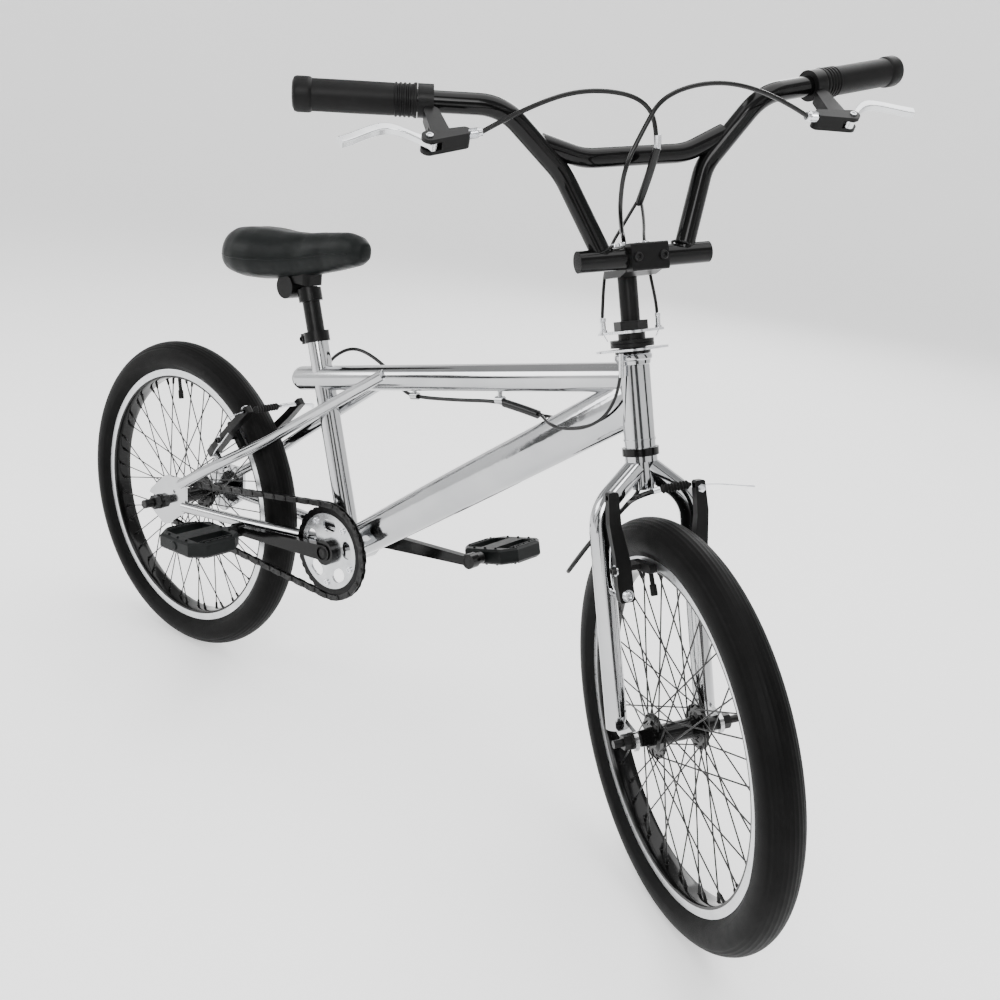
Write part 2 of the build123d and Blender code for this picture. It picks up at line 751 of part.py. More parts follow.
def make_fork():
    save(fork_legs(), "fork_legs", FORK)
    steerer = joined(
        collar(284, 470, STEERER_RADIUS, STEERER_BORE), collar(317, 323.6, 19, STEERER_RADIUS)
    )
    save(cut(steerer, fork_legs()), "steerer_tube", FORK)
    race = collar(444.2, 464.3, 15.5, STEERER_RADIUS)
    nut = collar(467.7, 478, 19.5, STEERER_RADIUS, flats=6)
    save(joined(race, nut), "headset_race_and_locknut", FORK)

    with BuildPart() as plate:
        with BuildSketch(Plane.XY.offset(464.6)):
            Circle(20)
            with Locations((0, 34), (0, -34)):
                Circle(6.5)
            make_hull()
            Circle(STEERER_RADIUS, mode=Mode.SUBTRACT)
            with Locations((0, 34), (0, -34)):
                Circle(1.6, mode=Mode.SUBTRACT)
        extrude(amount=2.9)
    save(plate.part, "gyro_upper_plate", FORK)

    with BuildPart() as lower:
        with BuildSketch(Plane.XY.offset(444.3)):
            Circle(22)
            with Locations((0, 38), (0, -38)):
                Circle(6.5)
            make_hull()
            Circle(16.2, mode=Mode.SUBTRACT)
            with Locations((0, 38), (0, -38)):
                Circle(1.6, mode=Mode.SUBTRACT)
        extrude(amount=2.5)
    save(lower.part, "gyro_lower_plate", FORK)

    save(collar(448.6, 452.8, 25, 15.95), "gyro_lower_ring", FORK)
    save(collar(453.3, 457.0, 25, 15.95), "gyro_upper_ring", FORK)


# ---------------------------------------------------------------- stem and handlebar

CLAMP_CENTRE = Vector(48, 0, 546)
BASE_TUBE = 24.0
BAR_ARM = [(48, 47, 547), (42, 84, 640), (60, 150, 709), (15, 352, 737)]
CROSSBAR_TUBE = 21.4
CROSSBAR = [(46, 107, 672), (46, 60, 653.6), (46, -60, 653.6), (46, -107, 672)]


def bar_direction():
    return (Vector(*BAR_ARM[3]) - Vector(*BAR_ARM[2])).normalized()


def bar_point(across):
    """The place on the left grip's straight run that lies so far from the middle plane."""
    start = Vector(*BAR_ARM[2])
    return start + bar_direction() * ((across - start.Y) / bar_direction().Y)


def stem():
    """A quill in the steerer and a block that the bar's base tube is clamped in."""
    with BuildPart() as block:
        with BuildSketch(Plane.XZ.offset(-22)):
            with BuildLine():
                Polyline(
                    (-16, 527), (30, 527), (49, 532), (49, 560), (-8, 560), (-16, 552), close=True
                )
            make_face()
        extrude(amount=44)
        fillet(block.edges().filter_by(Axis.Z), 3)
        with BuildSketch(Plane.XY.offset(400)):
            Circle(BAR_TUBE / 2)
        extrude(amount=128)
        with BuildSketch(Plane.XY.offset(390)):
            Circle(7)
        extrude(amount=180, mode=Mode.SUBTRACT)
        with BuildSketch(Plane.XZ.offset(-30)):
            with Locations((CLAMP_CENTRE.X, CLAMP_CENTRE.Z)):
                Circle(BASE_TUBE / 2)
        extrude(amount=60, mode=Mode.SUBTRACT)
    return block.part


def stem_cap():
    """The front half of the clamp."""
    with BuildPart() as cap:
        with BuildSketch(Plane.XZ.offset(-22)):
            with Locations((CLAMP_CENTRE.X + 9.5, CLAMP_CENTRE.Z)):
                RectangleRounded(17, 30, 3)
            with Locations((CLAMP_CENTRE.X, CLAMP_CENTRE.Z)):
                Circle(BASE_TUBE / 2, mode=Mode.SUBTRACT)
        extrude(amount=44)
        with BuildSketch(Plane.XZ.offset(-30)):
            with Locations((CLAMP_CENTRE.X - 20 + 1.2, CLAMP_CENTRE.Z)):
                Rectangle(40, 60)
        extrude(amount=60, mode=Mode.SUBTRACT)
    return cap.part


def stem_bolts():
    """Socket bolts: four on the block's top and two on the front of the cap."""
    with BuildPart() as bolts:
        with BuildSketch(Plane.XY.offset(560)):
            with Locations((6, 15), (6, -15), (24, 15), (24, -15)):
                Circle(4)
        extrude(amount=3.5)
        with BuildSketch(Plane.YZ.offset(CLAMP_CENTRE.X + 18)):
            with Locations((15, CLAMP_CENTRE.Z), (-15, CLAMP_CENTRE.Z)):
                Circle(4)
        extrude(amount=3)
    return bolts.part


ADJUSTER = 8.5
ADJUSTER_OUTER = (88, 204, 678)
ADJUSTER_INNER = (91, 185, 679)


def lever_plane(side):
    """Frame of a brake lever: origin at its pivot, x away from the bar, y out along the bar."""
    away = Vector(0.72, 0, -0.694)
    pivot = Vector(90, side * 240, 671)
    return Plane(origin=pivot, x_dir=away, z_dir=away.cross(Vector(0, side, 0)))


def lever_bracket():
    """The left lever's clamp, its body and the two cheeks that hold the pivot."""
    centre = bar_point(226)
    along = bar_direction()
    pivot = Vector(90, 240, 671)
    ring = rod([centre - along * 8, centre + along * 8], 34)
    bar = rod([centre - along * 30, centre + along * 30], BAR_TUBE)
    plane = lever_plane(1)
    with BuildPart() as body:
        with BuildSketch(plane.offset(-9)):
            Circle(8)
            with Locations((-6, -38)):
                Circle(6)
            make_hull()
        extrude(amount=18)
        with BuildSketch(plane.offset(-7)):
            with Locations((-8, -14)):
                Circle(10)
            with Locations((-44, -14)):
                Circle(8)
            make_hull()
        extrude(amount=14)
        with BuildSketch(plane.offset(-4.4)):
            with Locations((2, 10)):
                Rectangle(44, 44)
        extrude(amount=8.8, mode=Mode.SUBTRACT)
        with BuildSketch(plane.offset(-4.4)):
            Circle(2.9)
        extrude(amount=8.8)
    return cut(joined(ring, body.part), bar, rod([ADJUSTER_INNER, ADJUSTER_OUTER], ADJUSTER))


def lever_blade():
    """The left lever's blade: a pivot eye and a dog-leg that runs out ahead of the grip."""
    plane = lever_plane(1)
    with BuildPart() as blade:
        with BuildSketch(plane.offset(-4)):
            with BuildLine():
                Spline((-4, -7), (-16, 12), (-32, 34), (-25, 62), (-14, 88))
                Line((-14, 88), (-4, 85))
                Spline((-4, 85), (-15, 60), (-22, 36), (-6, 12), (8, 0))
                ThreePointArc((8, 0), (5, -7.5), (-4, -7))
            make_face()
            Circle(3.0, mode=Mode.SUBTRACT)
        extrude(amount=8)
        fillet(blade.edges().filter_by(GeomType.BSPLINE), 1.5)
    return blade.part


def grip():
    """A ribbed rubber sleeve with a flange at its inner end and a closed outer end."""
    along = bar_direction()
    inner = bar_point(240)
    outer = bar_point(352)
    length = (outer - inner).length
    with BuildPart() as sleeve:
        with BuildSketch(Plane(origin=inner, z_dir=along)):
            Circle(16)
        extrude(amount=length + 5)
        with BuildSketch(Plane(origin=inner, z_dir=along)):
            Circle(19)
        extrude(amount=3)
        with BuildSketch(Plane(origin=inner, z_dir=along)):
            Circle(BAR_TUBE / 2)
        extrude(amount=length, mode=Mode.SUBTRACT)
        for ring in (9, 13.5, 18):
            with BuildSketch(Plane(origin=inner + along * ring, z_dir=along)):
                Circle(16.8)
                Circle(15.5, mode=Mode.SUBTRACT)
            extrude(amount=2)
    return sleeve.part


def make_handlebar():
    save(stem(), "stem", FORK)
    save(stem_cap(), "stem_cap", FORK)
    save(stem_bolts(), "stem_bolts", FORK)

    base_solid = rod([(48, -78, 546), (48, 78, 546)], BASE_TUBE)
    arm_solid = rod(BAR_ARM, BAR_TUBE, [55, 60])
    arm_bore = rod(BAR_ARM, BAR_TUBE - 4, [55, 60])
    cross_solid = rod(CROSSBAR, CROSSBAR_TUBE, [70, 70])
    arm = cut(arm_solid, arm_bore, base_solid)
    crossbar = cut(cross_solid, both_sides(arm_solid))
    save(Compound(children=[base_solid, *both_sides(arm).solids(), crossbar]), "handlebar", FORK)

    save(both_sides(cut(grip(), arm_solid)), "grips", FORK)
    save(both_sides(lever_bracket()), "lever_brackets", FORK)
    left = lever_blade()
    save(left, "brake_lever_left", FORK)
    save(left.mirror(Plane.XZ), "brake_lever_right", FORK)
    adjuster = rod([ADJUSTER_INNER, ADJUSTER_OUTER], ADJUSTER)
    hollow = rod([ADJUSTER_INNER, ADJUSTER_OUTER], 5.2)
    save(both_sides(cut(adjuster, hollow)), "barrel_adjusters", FORK)


# ---------------------------------------------------------------- brakes

ARM_LENGTH = 120.0
PAD_GAP = 2.7


def brake_arm(top_out, bore):
    """The left arm of a linear-pull brake, upright on its pivot in the brake's own frame."""
    with BuildPart() as arm:
        with BuildSketch(Plane.YZ.offset(-12)):
            with BuildLine():
                Polyline(
                    (-9, -8),
                    (-8, 12),
                    (-7, 40),
                    (-5 + top_out * 0.8, 80),
                    (-6 + top_out, ARM_LENGTH),
                    (6 + top_out, ARM_LENGTH),
                    (8 + top_out, 84),
                    (11, 44),
                    (11, 12),
                    (9, -8),
                    close=True,
                )
            make_face()
        extrude(amount=11)
        fillet(arm.edges().filter_by(Axis.X), 3)
        with BuildSketch(Plane.YZ.offset(-14)):
            Circle(BRAKE_STUD + RUNNING_GAP)
        extrude(amount=20, mode=Mode.SUBTRACT)
        with BuildSketch(Plane.XZ.offset(30)):
            with Locations((-6.5, ARM_LENGTH - 6)):
                Circle(bore)
        extrude(amount=-80, mode=Mode.SUBTRACT)
    return arm.part


def brake_pad(out, up, tilt):
    """The pad with its post; out is the pivot's distance from the middle plane."""
    reach = -6.5
    face = RIM_HALF + PAD_GAP - out
    with BuildPart() as pad:
        with BuildSketch(Plane.XZ.offset(-face)):
            with Locations((reach, up)):
                RectangleRounded(54, 10, 4, rotation=tilt)
        extrude(amount=-9)
        with BuildSketch(Plane.XZ.offset(-face - 9)):
            with Locations((reach, up)):
                Circle(3)
        extrude(amount=face + 16)
    return pad.part


def make_brake(name, plane, out, top_out, up, tilt, sides):
    """A pair of arms with their pads, drawn at one side and mirrored at the other."""
    pad = brake_pad(out, up, tilt).moved(Location((0, out, 0)))
    arm = cut(brake_arm(top_out, 3.2).moved(Location((0, out, 0))), pad)
    save(arm, f"{name}_brake_arm_{sides[0]}", plane)
    save(pad, f"{name}_brake_pad_{sides[0]}", plane)
    save(arm.mirror(Plane.XZ), f"{name}_brake_arm_{sides[1]}", plane)
    save(pad.mirror(Plane.XZ), f"{name}_brake_pad_{sides[1]}", plane)


def make_brakes():
    make_brake("front", FRONT_BRAKE, BRAKE_PIVOT_OUT, 7, 30, 1.6, ("left", "right"))
    make_brake("rear", REAR_BRAKE, BRAKE_PIVOT_OUT, 3, 34, 2.3, ("right", "left"))


# ---------------------------------------------------------------- seat

SEAT_POST = 25.2
# Each section of the saddle: how far ahead, its half width, its lower edge and its crest.
SADDLE_SECTIONS = [
    (100, 24, 407, 438),
    (109, 40, 394, 452),
    (128, 52, 388, 460),
    (152, 57, 387, 463),
    (182, 55, 390, 464),
    (220, 45, 398, 463),
    (262, 33, 410, 466),
    (305, 26, 423, 474),
    (338, 23, 432, 481),
    (360, 19, 438, 479),
    (373, 11, 447, 471),
]


def saddle_section(ahead, half_width, low, crest):
    """A flat-bottomed, domed section of the saddle."""
    height = crest - low
    with BuildSketch(Plane(origin=(ahead, 0, low), x_dir=(0, 1, 0), z_dir=(1, 0, 0))) as section:
        with BuildLine():
            Spline(
                (-half_width * 0.8, 0),
                (-half_width, height * 0.25),
                (-half_width * 0.86, height * 0.7),
                (0, height),
                (half_width * 0.86, height * 0.7),
                (half_width, height * 0.25),
                (half_width * 0.8, 0),
            )
            Line((half_width * 0.8, 0), (-half_width * 0.8, 0))
        make_face()
    return section.sketch


def make_seat():
    route = [SEAT_TUBE_TOP - SEAT_DIRECTION * 130, SEAT_TUBE_TOP + SEAT_DIRECTION * 69]
    post = rod(route, SEAT_POST)
    post_bore = rod(route, SEAT_POST - 5)
    save(cut(post, post_bore), "seat_post")
    head = rod([(232, -20, 388), (232, 20, 388)], 34)
    band = rod([SEAT_TUBE_TOP + SEAT_DIRECTION * 49, SEAT_TUBE_TOP + SEAT_DIRECTION * 67], 34)
    with BuildPart() as clamp:
        add(head)
        add(band)
        with BuildSketch(Plane.XY.offset(396)):
            with Locations((236, 0)):
                RectangleRounded(76, 34, 8)
        extrude(amount=18)
    save(cut(clamp.part, post), "saddle_clamp")
    with BuildPart() as saddle:
        for section in SADDLE_SECTIONS:
            add(saddle_section(*section))
        loft()
    save(cut(saddle.part, clamp.part, post), "saddle")


# ---------------------------------------------------------------- cables

CABLE = 5.0
LEG_CABLE = 3.0
NOODLE = 6.2


def rear_housing():
    """The single housing from the gyro's lower splitter to the rear brake."""
    route = [
        (704, 0, 312),
        (662, 0, 313.5),
        (624, 0, 312.5),
        (560, 0, 293),
        (489, 0, 285),
        (450, 12, 282),
        (415, 31, 293),
        (370, 31, 312),
        (328, 30, 317),
        (287, 31, 294),
        (256, 44, 262),
        (236, 66, 240),
    ]
    return cable(route, CABLE, "rear housing")


def gyro_lower_legs():
    """The two thin housings that go down each side of the head tube from the lower plate."""
    legs = []
    for side in (-1, 1):
        route = [
            (815.7, side * 25.5, 417.5),
            (821, side * 25.5, 384),
            (810, side * 26, 345),
            (785, side * 26, 323),
            (756, side * 24, 313),
            (728, side * 23.5, 309.5),
            (700, side * 2.8, 312.3),
        ]
        legs.append(cable(route, LEG_CABLE, "gyro lower leg"))
    return joined(*legs)


def upper_rear_cable():
    """The right lever's cable, which splits in two above the stem and meets the upper plate."""
    single = [
        (91, -185, 679),
        (98, -135, 701),
        (98, -70, 716),
        (92, 0, 704),
        (84, 10, 656),
        (66, 2, 623),
        (44, 0, 602),
    ]
    right = [
        (46, -2.8, 604),
        (12, -6, 583),
        (-22, -9, 562),
        (-24, -18, 528),
        (-8, -30, 492),
        (0, -34, 468),
    ]
    left = [
        (46, 2.8, 604),
        (18, 18, 587),
        (-20, 33, 567),
        (-24, 40, 528),
        (-6, 37, 492),
        (0, 34, 468),
    ]
    return joined(
        cable(single, CABLE, "rear upper"),
        cable(right, LEG_CABLE, "gyro upper right leg"),
        cable(left, LEG_CABLE, "gyro upper left leg"),
    )


def front_cable():
    """The left lever's cable: over the bar into the hollow stem, and out under the fork crown."""
    upper = [
        (91, 185, 679),
        (104, 140, 700),
        (114, 70, 716),
        (116, 4, 704),
        (114, -22, 668),
        (108, -42, 634),
        (88, -41, 602),
        (48, -24, 577),
        (18, -9, 573),
        (0, 0, 556),
        (0, 0, 520),
    ]
    lower = [
        (0, 0, 326),
        (0, 0, 290),
        (-18, -10, 266),
        (-50, -30, 240),
        (-66, -56, 208),
        (-52, -84, 188),
        (-34, -88, 194),
        (-24, -56, 232),
        (-20, -30, 250),
        (4, -22, 271),
    ]
    return joined(cable(upper, CABLE, "front upper"), cable(lower, CABLE, "front lower"))


def front_noodle():
    """The front brake's bent pipe: it comes through under the crown and points at the left arm."""
    route = [(-6.5, 3, 115), (-6.5, -17, 112), (-20, -23, 106), (-34.5, -21.2, 101)]
    pipe = cable(route, NOODLE, "front noodle")
    holder = rod([(-6.5, -12, 112.5), (-6.5, -46, 113)], 5)
    return joined(pipe, holder)


def rear_noodle():
    """The rear brake's bent pipe, held in the left arm, in the brake's frame."""
    route = [(-6.5, -12, ARM_LENGTH - 6), (-6.5, -74, ARM_LENGTH - 6), (-6.5, -88, ARM_LENGTH - 24)]
    return cable(route, NOODLE, "rear noodle")


def make_cables():
    save(upper_rear_cable(), "rear_brake_upper_cable", FORK)
    save(front_cable(), "front_brake_cable", FORK)
    save(joined(rear_housing(), gyro_lower_legs()), "rear_brake_cable")
    save(rear_noodle(), "rear_brake_noodle", REAR_BRAKE)
    save(front_noodle(), "front_brake_noodle", FRONT_BRAKE)


os.makedirs("parts", exist_ok=True)
make_wheels()
make_frame()
make_drivetrain()
make_fork()
make_handlebar()
make_brakes()
make_seat()
make_cables()
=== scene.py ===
from math import cos, pi, radians, sin

import bmesh
import bpy
from mathutils import Matrix, Vector


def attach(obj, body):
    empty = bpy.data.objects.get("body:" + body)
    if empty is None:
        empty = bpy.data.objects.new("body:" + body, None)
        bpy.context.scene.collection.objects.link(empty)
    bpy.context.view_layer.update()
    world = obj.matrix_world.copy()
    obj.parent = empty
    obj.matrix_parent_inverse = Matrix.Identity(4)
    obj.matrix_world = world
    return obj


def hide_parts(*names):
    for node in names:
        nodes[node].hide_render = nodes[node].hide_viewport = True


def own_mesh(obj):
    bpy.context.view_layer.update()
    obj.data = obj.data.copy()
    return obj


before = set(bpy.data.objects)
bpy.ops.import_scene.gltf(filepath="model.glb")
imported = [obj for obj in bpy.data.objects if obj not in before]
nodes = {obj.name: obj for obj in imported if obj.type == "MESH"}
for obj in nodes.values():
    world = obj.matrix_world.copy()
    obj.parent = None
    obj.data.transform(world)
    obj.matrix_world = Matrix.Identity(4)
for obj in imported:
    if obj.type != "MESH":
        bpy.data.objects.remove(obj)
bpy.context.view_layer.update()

# A 20-inch freestyle bicycle. Metres; the origin is the rear axle, +X ahead, +Y left, +Z up.

# ---------------------------------------------------------------- places

HEAD = radians(74.8)
STEER = radians(-32.2)
UP_STEER = Vector((-cos(HEAD), 0, sin(HEAD)))
AHEAD = Matrix.Rotation(STEER, 3, UP_STEER) @ Vector((sin(HEAD), 0, cos(HEAD)))
LEFT = UP_STEER.cross(AHEAD)
FOOT = Vector((0.968, 0, 0)) - Vector((sin(HEAD), 0, cos(HEAD))) * 0.039
BB = Vector((0.383378, 0, 0.037))
CRANK = 0.1725
CRANK_TURN = radians(185.6)
CRANK_FACE = 0.0539
PEDAL_MIDDLE = 0.139
PEDAL_END = 0.0448
SEAT_UP = Vector((-cos(radians(71)), 0, sin(radians(71))))
SEAT_AHEAD = Vector((sin(radians(71)), 0, cos(radians(71))))
SEAT_TOP = BB + SEAT_UP * 0.306


def place(origin, x, z):
    """A place with its own x and z directions."""
    y = z.cross(x)
    turn = Matrix((x, y, z)).transposed().to_4x4()
    return Matrix.Translation(origin) @ turn


FORK = place(FOOT, AHEAD, UP_STEER)
FRONT_BRAKE = FORK @ Matrix.Translation((0.040, 0, 0.171))
BRAKE_UP = Vector((0.685, 0, 0.729)).normalized()
REAR_BRAKE = place(Vector((0.116, 0, 0.121)), BRAKE_UP.cross(Vector((0, 1, 0))), BRAKE_UP)
FRONT_WHEEL = place(FOOT + AHEAD * 0.039, AHEAD, LEFT)
REAR_WHEEL = place(Vector((0, 0, 0)), Vector((1, 0, 0)), Vector((0, 1, 0)))


def mm(*point):
    return Vector(point) / 1000


# ---------------------------------------------------------------- materials


def material(
    name,
    light,
    dark,
    rough,
    metal=0.0,
    scale=30.0,
    bump=0.0,
    bump_scale=400.0,
    coat=0.0,
    coat_rough=0.1,
    specular=0.5,
):
    """A surface whose colour and roughness wander with the place on it, with a fine relief."""
    m = bpy.data.materials.new(name)
    m.use_nodes = True
    tree = m.node_tree
    shader = tree.nodes["Principled BSDF"]
    shader.inputs["Metallic"].default_value = metal
    shader.inputs["Coat Weight"].default_value = coat
    shader.inputs["Coat Roughness"].default_value = coat_rough
    shader.inputs["Specular IOR Level"].default_value = specular
    where = tree.nodes.new("ShaderNodeTexCoord")
    clouds = tree.nodes.new("ShaderNodeTexNoise")
    clouds.inputs["Scale"].default_value = scale
    clouds.inputs["Detail"].default_value = 5
    tree.links.new(where.outputs["Object"], clouds.inputs["Vector"])
    tint = tree.nodes.new("ShaderNodeValToRGB")
    tint.color_ramp.elements[0].position = 0.3
    tint.color_ramp.elements[0].color = (*dark, 1)
    tint.color_ramp.elements[1].position = 0.7
    tint.color_ramp.elements[1].color = (*light, 1)
    tree.links.new(clouds.outputs["Fac"], tint.inputs["Fac"])
    tree.links.new(tint.outputs["Color"], shader.inputs["Base Color"])
    wear = tree.nodes.new("ShaderNodeTexNoise")
    wear.inputs["Scale"].default_value = scale * 3.1
    wear.inputs["Detail"].default_value = 7
    tree.links.new(where.outputs["Object"], wear.inputs["Vector"])
    gloss = tree.nodes.new("ShaderNodeMapRange")
    gloss.inputs["To Min"].default_value = rough[0]
    gloss.inputs["To Max"].default_value = rough[1]
    tree.links.new(wear.outputs["Fac"], gloss.inputs["Value"])
    tree.links.new(gloss.outputs["Result"], shader.inputs["Roughness"])
    if bump:
        grain = tree.nodes.new("ShaderNodeTexNoise")
        grain.inputs["Scale"].default_value = bump_scale
        grain.inputs["Detail"].default_value = 3
        tree.links.new(where.outputs["Object"], grain.inputs["Vector"])
        relief = tree.nodes.new("ShaderNodeBump")
        relief.inputs["Strength"].default_value = bump
        relief.inputs["Distance"].default_value = 0.0006
        tree.links.new(grain.outputs["Fac"], relief.inputs["Height"])
        tree.links.new(relief.outputs["Normal"], shader.inputs["Normal"])
    return m


def grey(value):
    return (value, value, value)


chrome = material(
    "chrome plate", (0.47, 0.475, 0.48), (0.38, 0.385, 0.395), (0.06, 0.14), metal=1.0, scale=9
)
black_gloss = material(
    "black gloss paint", grey(0.003), grey(0.0015), (0.10, 0.18), scale=14, coat=0.06,
    coat_rough=0.05, specular=0.16,
)
black_anodised = material(
    "black anodised alloy", grey(0.005), grey(0.003), (0.24, 0.38), metal=0.2, scale=40,
    specular=0.16,
)
black_satin = material(
    "black satin alloy", grey(0.004), grey(0.002), (0.26, 0.42), scale=30, bump=0.08,
    bump_scale=900, specular=0.14,
)
black_oxide = material(
    "black oxide steel", grey(0.020), grey(0.008), (0.28, 0.44), metal=0.8, scale=60
)
chain_steel = material(
    "dark oiled steel", grey(0.030), grey(0.010), (0.24, 0.42), metal=0.85, scale=120
)
zinc = material(
    "bright zinc plate", (0.72, 0.73, 0.75), (0.58, 0.59, 0.61), (0.14, 0.30), metal=1.0, scale=90
)
spoke_steel = material(
    "grey plated spoke", grey(0.040), grey(0.018), (0.24, 0.38), metal=0.9, scale=50
)
machined = material(
    "machined rim side", (0.68, 0.69, 0.70), (0.56, 0.57, 0.58), (0.22, 0.36), metal=1.0, scale=45
)
alloy = material(
    "polished alloy", (0.70, 0.71, 0.72), (0.60, 0.61, 0.62), (0.18, 0.32), metal=1.0, scale=35
)
tyre_rubber = material(
    "tyre rubber", grey(0.0025), grey(0.0010), (0.42, 0.58), scale=25, bump=0.25,
    bump_scale=1400, specular=0.07,
)
grip_rubber = material(
    "grip rubber", grey(0.003), grey(0.0015), (0.36, 0.52), scale=60, bump=0.2, bump_scale=1600,
    specular=0.14,
)
pad_rubber = material(
    "brake rubber", grey(0.006), grey(0.003), (0.50, 0.70), scale=80, bump=0.15, bump_scale=1500,
    specular=0.16,
)
housing = material(
    "cable housing", grey(0.004), grey(0.002), (0.18, 0.30), scale=50, specular=0.3
)
pedal_plastic = material(
    "pedal plastic", (0.004, 0.005, 0.005), (0.002, 0.0026, 0.0026), (0.34, 0.50), scale=40,
    bump=0.25, bump_scale=900, specular=0.14,
)
saddle_cover = material(
    "saddle cover", (0.0035, 0.0048, 0.0046), (0.002, 0.0028, 0.0027), (0.34, 0.46), scale=12,
    bump=0.35, bump_scale=1100, specular=0.12,
)

FINISHES = {
    chrome: [
        "head_tube", "top_tube", "down_tube", "seat_tube", "bottom_bracket_shell", "seat_stays",
        "chain_stays_and_dropouts", "fork_legs", "steerer_tube", "cable_guides",
    ],
    black_gloss: ["handlebar", "cranks", "front_hub", "rear_hub", "headset_cups"],
    black_anodised: [
        "stem", "stem_cap", "seat_post", "seat_collar", "saddle_clamp", "headset_race_and_locknut",
    ],
    black_satin: [
        "front_brake_arm_left", "front_brake_arm_right", "rear_brake_arm_left",
        "rear_brake_arm_right", "gyro_lower_ring", "gyro_upper_ring", "lever_brackets",
    ],
    black_oxide: [
        "rear_axle_and_nuts", "front_axle_and_nuts", "pedal_axles", "bottom_bracket_cups",
    ],
    chain_steel: ["chain", "freewheel"],
    zinc: ["gyro_upper_plate", "gyro_lower_plate", "barrel_adjusters", "stem_bolts"],
    spoke_steel: ["front_spokes", "rear_spokes"],
    alloy: ["brake_lever_left", "brake_lever_right"],
    pad_rubber: [
        "front_brake_pad_left", "front_brake_pad_right", "rear_brake_pad_left",
        "rear_brake_pad_right",
    ],
    machined: ["front_rim", "rear_rim"],
    tyre_rubber: ["front_tyre", "rear_tyre"],
    grip_rubber: ["grips"],
    housing: [
        "rear_brake_cable", "rear_brake_upper_cable", "front_brake_cable", "front_brake_noodle",
        "rear_brake_noodle",
    ],
    pedal_plastic: ["pedal_left", "pedal_right"],
    saddle_cover: ["saddle"],
}
for finish, names in FINISHES.items():
    for name in names:
        nodes[name].data.materials.clear()
        nodes[name].data.materials.append(finish)


def two_tone(m, centre, limit, outer):
    """Makes a material darker beyond a distance from the axis of a wheel or ring."""
    tree = m.node_tree
    shader = tree.nodes["Principled BSDF"]
    inner = shader.inputs["Base Color"].links[0].from_socket
    where = tree.nodes.new("ShaderNodeTexCoord")
    flat = tree.nodes.new("ShaderNodeMapping")
    flat.inputs["Location"].default_value = (-centre.x, 0, -centre.z)
    flat.inputs["Scale"].default_value = (1, 0, 1)
    tree.links.new(where.outputs["Object"], flat.inputs["Vector"])
    reach = tree.nodes.new("ShaderNodeVectorMath")
    reach.operation = "LENGTH"
    tree.links.new(flat.outputs["Vector"], reach.inputs[0])
    beyond = tree.nodes.new("ShaderNodeMath")
    beyond.operation = "GREATER_THAN"
    beyond.inputs[1].default_value = limit
    tree.links.new(reach.outputs["Value"], beyond.inputs[0])
    blend = tree.nodes.new("ShaderNodeMixRGB")
    blend.inputs["Color2"].default_value = (*outer, 1)
    tree.links.new(beyond.outputs["Value"], blend.inputs["Fac"])
    tree.links.new(inner, blend.inputs["Color1"])
    tree.links.new(blend.outputs["Color"], shader.inputs["Base Color"])


ring_finish = material(
    "plated chainring", (0.56, 0.57, 0.58), (0.44, 0.45, 0.46), (0.16, 0.30), metal=1.0, scale=60
)
two_tone(ring_finish, BB, 0.0555, grey(0.012))
nodes["chainring"].data.materials.clear()
nodes["chainring"].data.materials.append(ring_finish)

# ---------------------------------------------------------------- shape helpers

SHARP_EDGE = radians(38)


def mesh_piece(name, points, faces, finish, body, at=Matrix.Identity(4)):
    """A new mesh piece that rides on a body."""
    mesh = bpy.data.meshes.new(name)
    mesh.from_pydata([tuple(p) for p in points], [], faces)
    mesh.transform(at)
    piece = bpy.data.objects.new(name.replace(" ", "_"), mesh)
    bpy.context.scene.collection.objects.link(piece)
    tool = bmesh.new()
    tool.from_mesh(mesh)
    bmesh.ops.recalc_face_normals(tool, faces=tool.faces)
    tool.to_mesh(mesh)
    tool.free()
    mesh.materials.append(finish)
    mesh.shade_smooth()
    mesh.set_sharp_from_angle(angle=SHARP_EDGE)
    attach(piece, body)
    return piece


def lathe(profile, steps=32, closed=False):
    """Points and faces of a shape turned about z from (radius, height) points."""
    points = []
    faces = []
    for radius, height in profile:
        for k in range(steps):
            turn = 2 * pi * k / steps
            points.append((radius * cos(turn), radius * sin(turn), height))
    rows = len(profile)
    last = rows if closed else rows - 1
    for row in range(last):
        for k in range(steps):
            a = row * steps + k
            b = row * steps + (k + 1) % steps
            c = ((row + 1) % rows) * steps + (k + 1) % steps
            d = ((row + 1) % rows) * steps + k
            faces.append((a, b, c, d))
    if not closed:
        faces.append(tuple(range(steps)))
        faces.append(tuple(range((rows - 1) * steps, rows * steps)))
    return points, faces


def gathered(parts):
    """Several (points, faces, place) shapes as one list of points and faces."""
    points = []
    faces = []
    for shape_points, shape_faces, at in parts:
        start = len(points)
        points += [at @ Vector(p) for p in shape_points]
        faces += [tuple(start + k for k in face) for face in shape_faces]
    return points, faces


def turned(name, profile, at, finish, body, steps=32, closed=False):
    points, faces = lathe(profile, steps, closed)
    return mesh_piece(name, points, faces, finish, body, at)


def strand(name, route, radius, finish, body, at=Matrix.Identity(4)):
    """A smooth round cord or pipe along a route, its points in millimetres."""
    curve = bpy.data.curves.new(name, "CURVE")
    curve.dimensions = "3D"
    curve.bevel_depth = radius
    curve.bevel_resolution = 5
    curve.resolution_u = 14
    curve.use_fill_caps = True
    line = curve.splines.new("NURBS")
    line.points.add(len(route) - 1)
    for point, spot in zip(line.points, route):
        point.co = (*(at @ mm(*spot)), 1)
    line.order_u = 3
    line.use_endpoint_u = True
    piece = bpy.data.objects.new(name.replace(" ", "_"), curve)
    bpy.context.scene.collection.objects.link(piece)
    curve.materials.append(finish)
    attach(piece, body)
    return piece


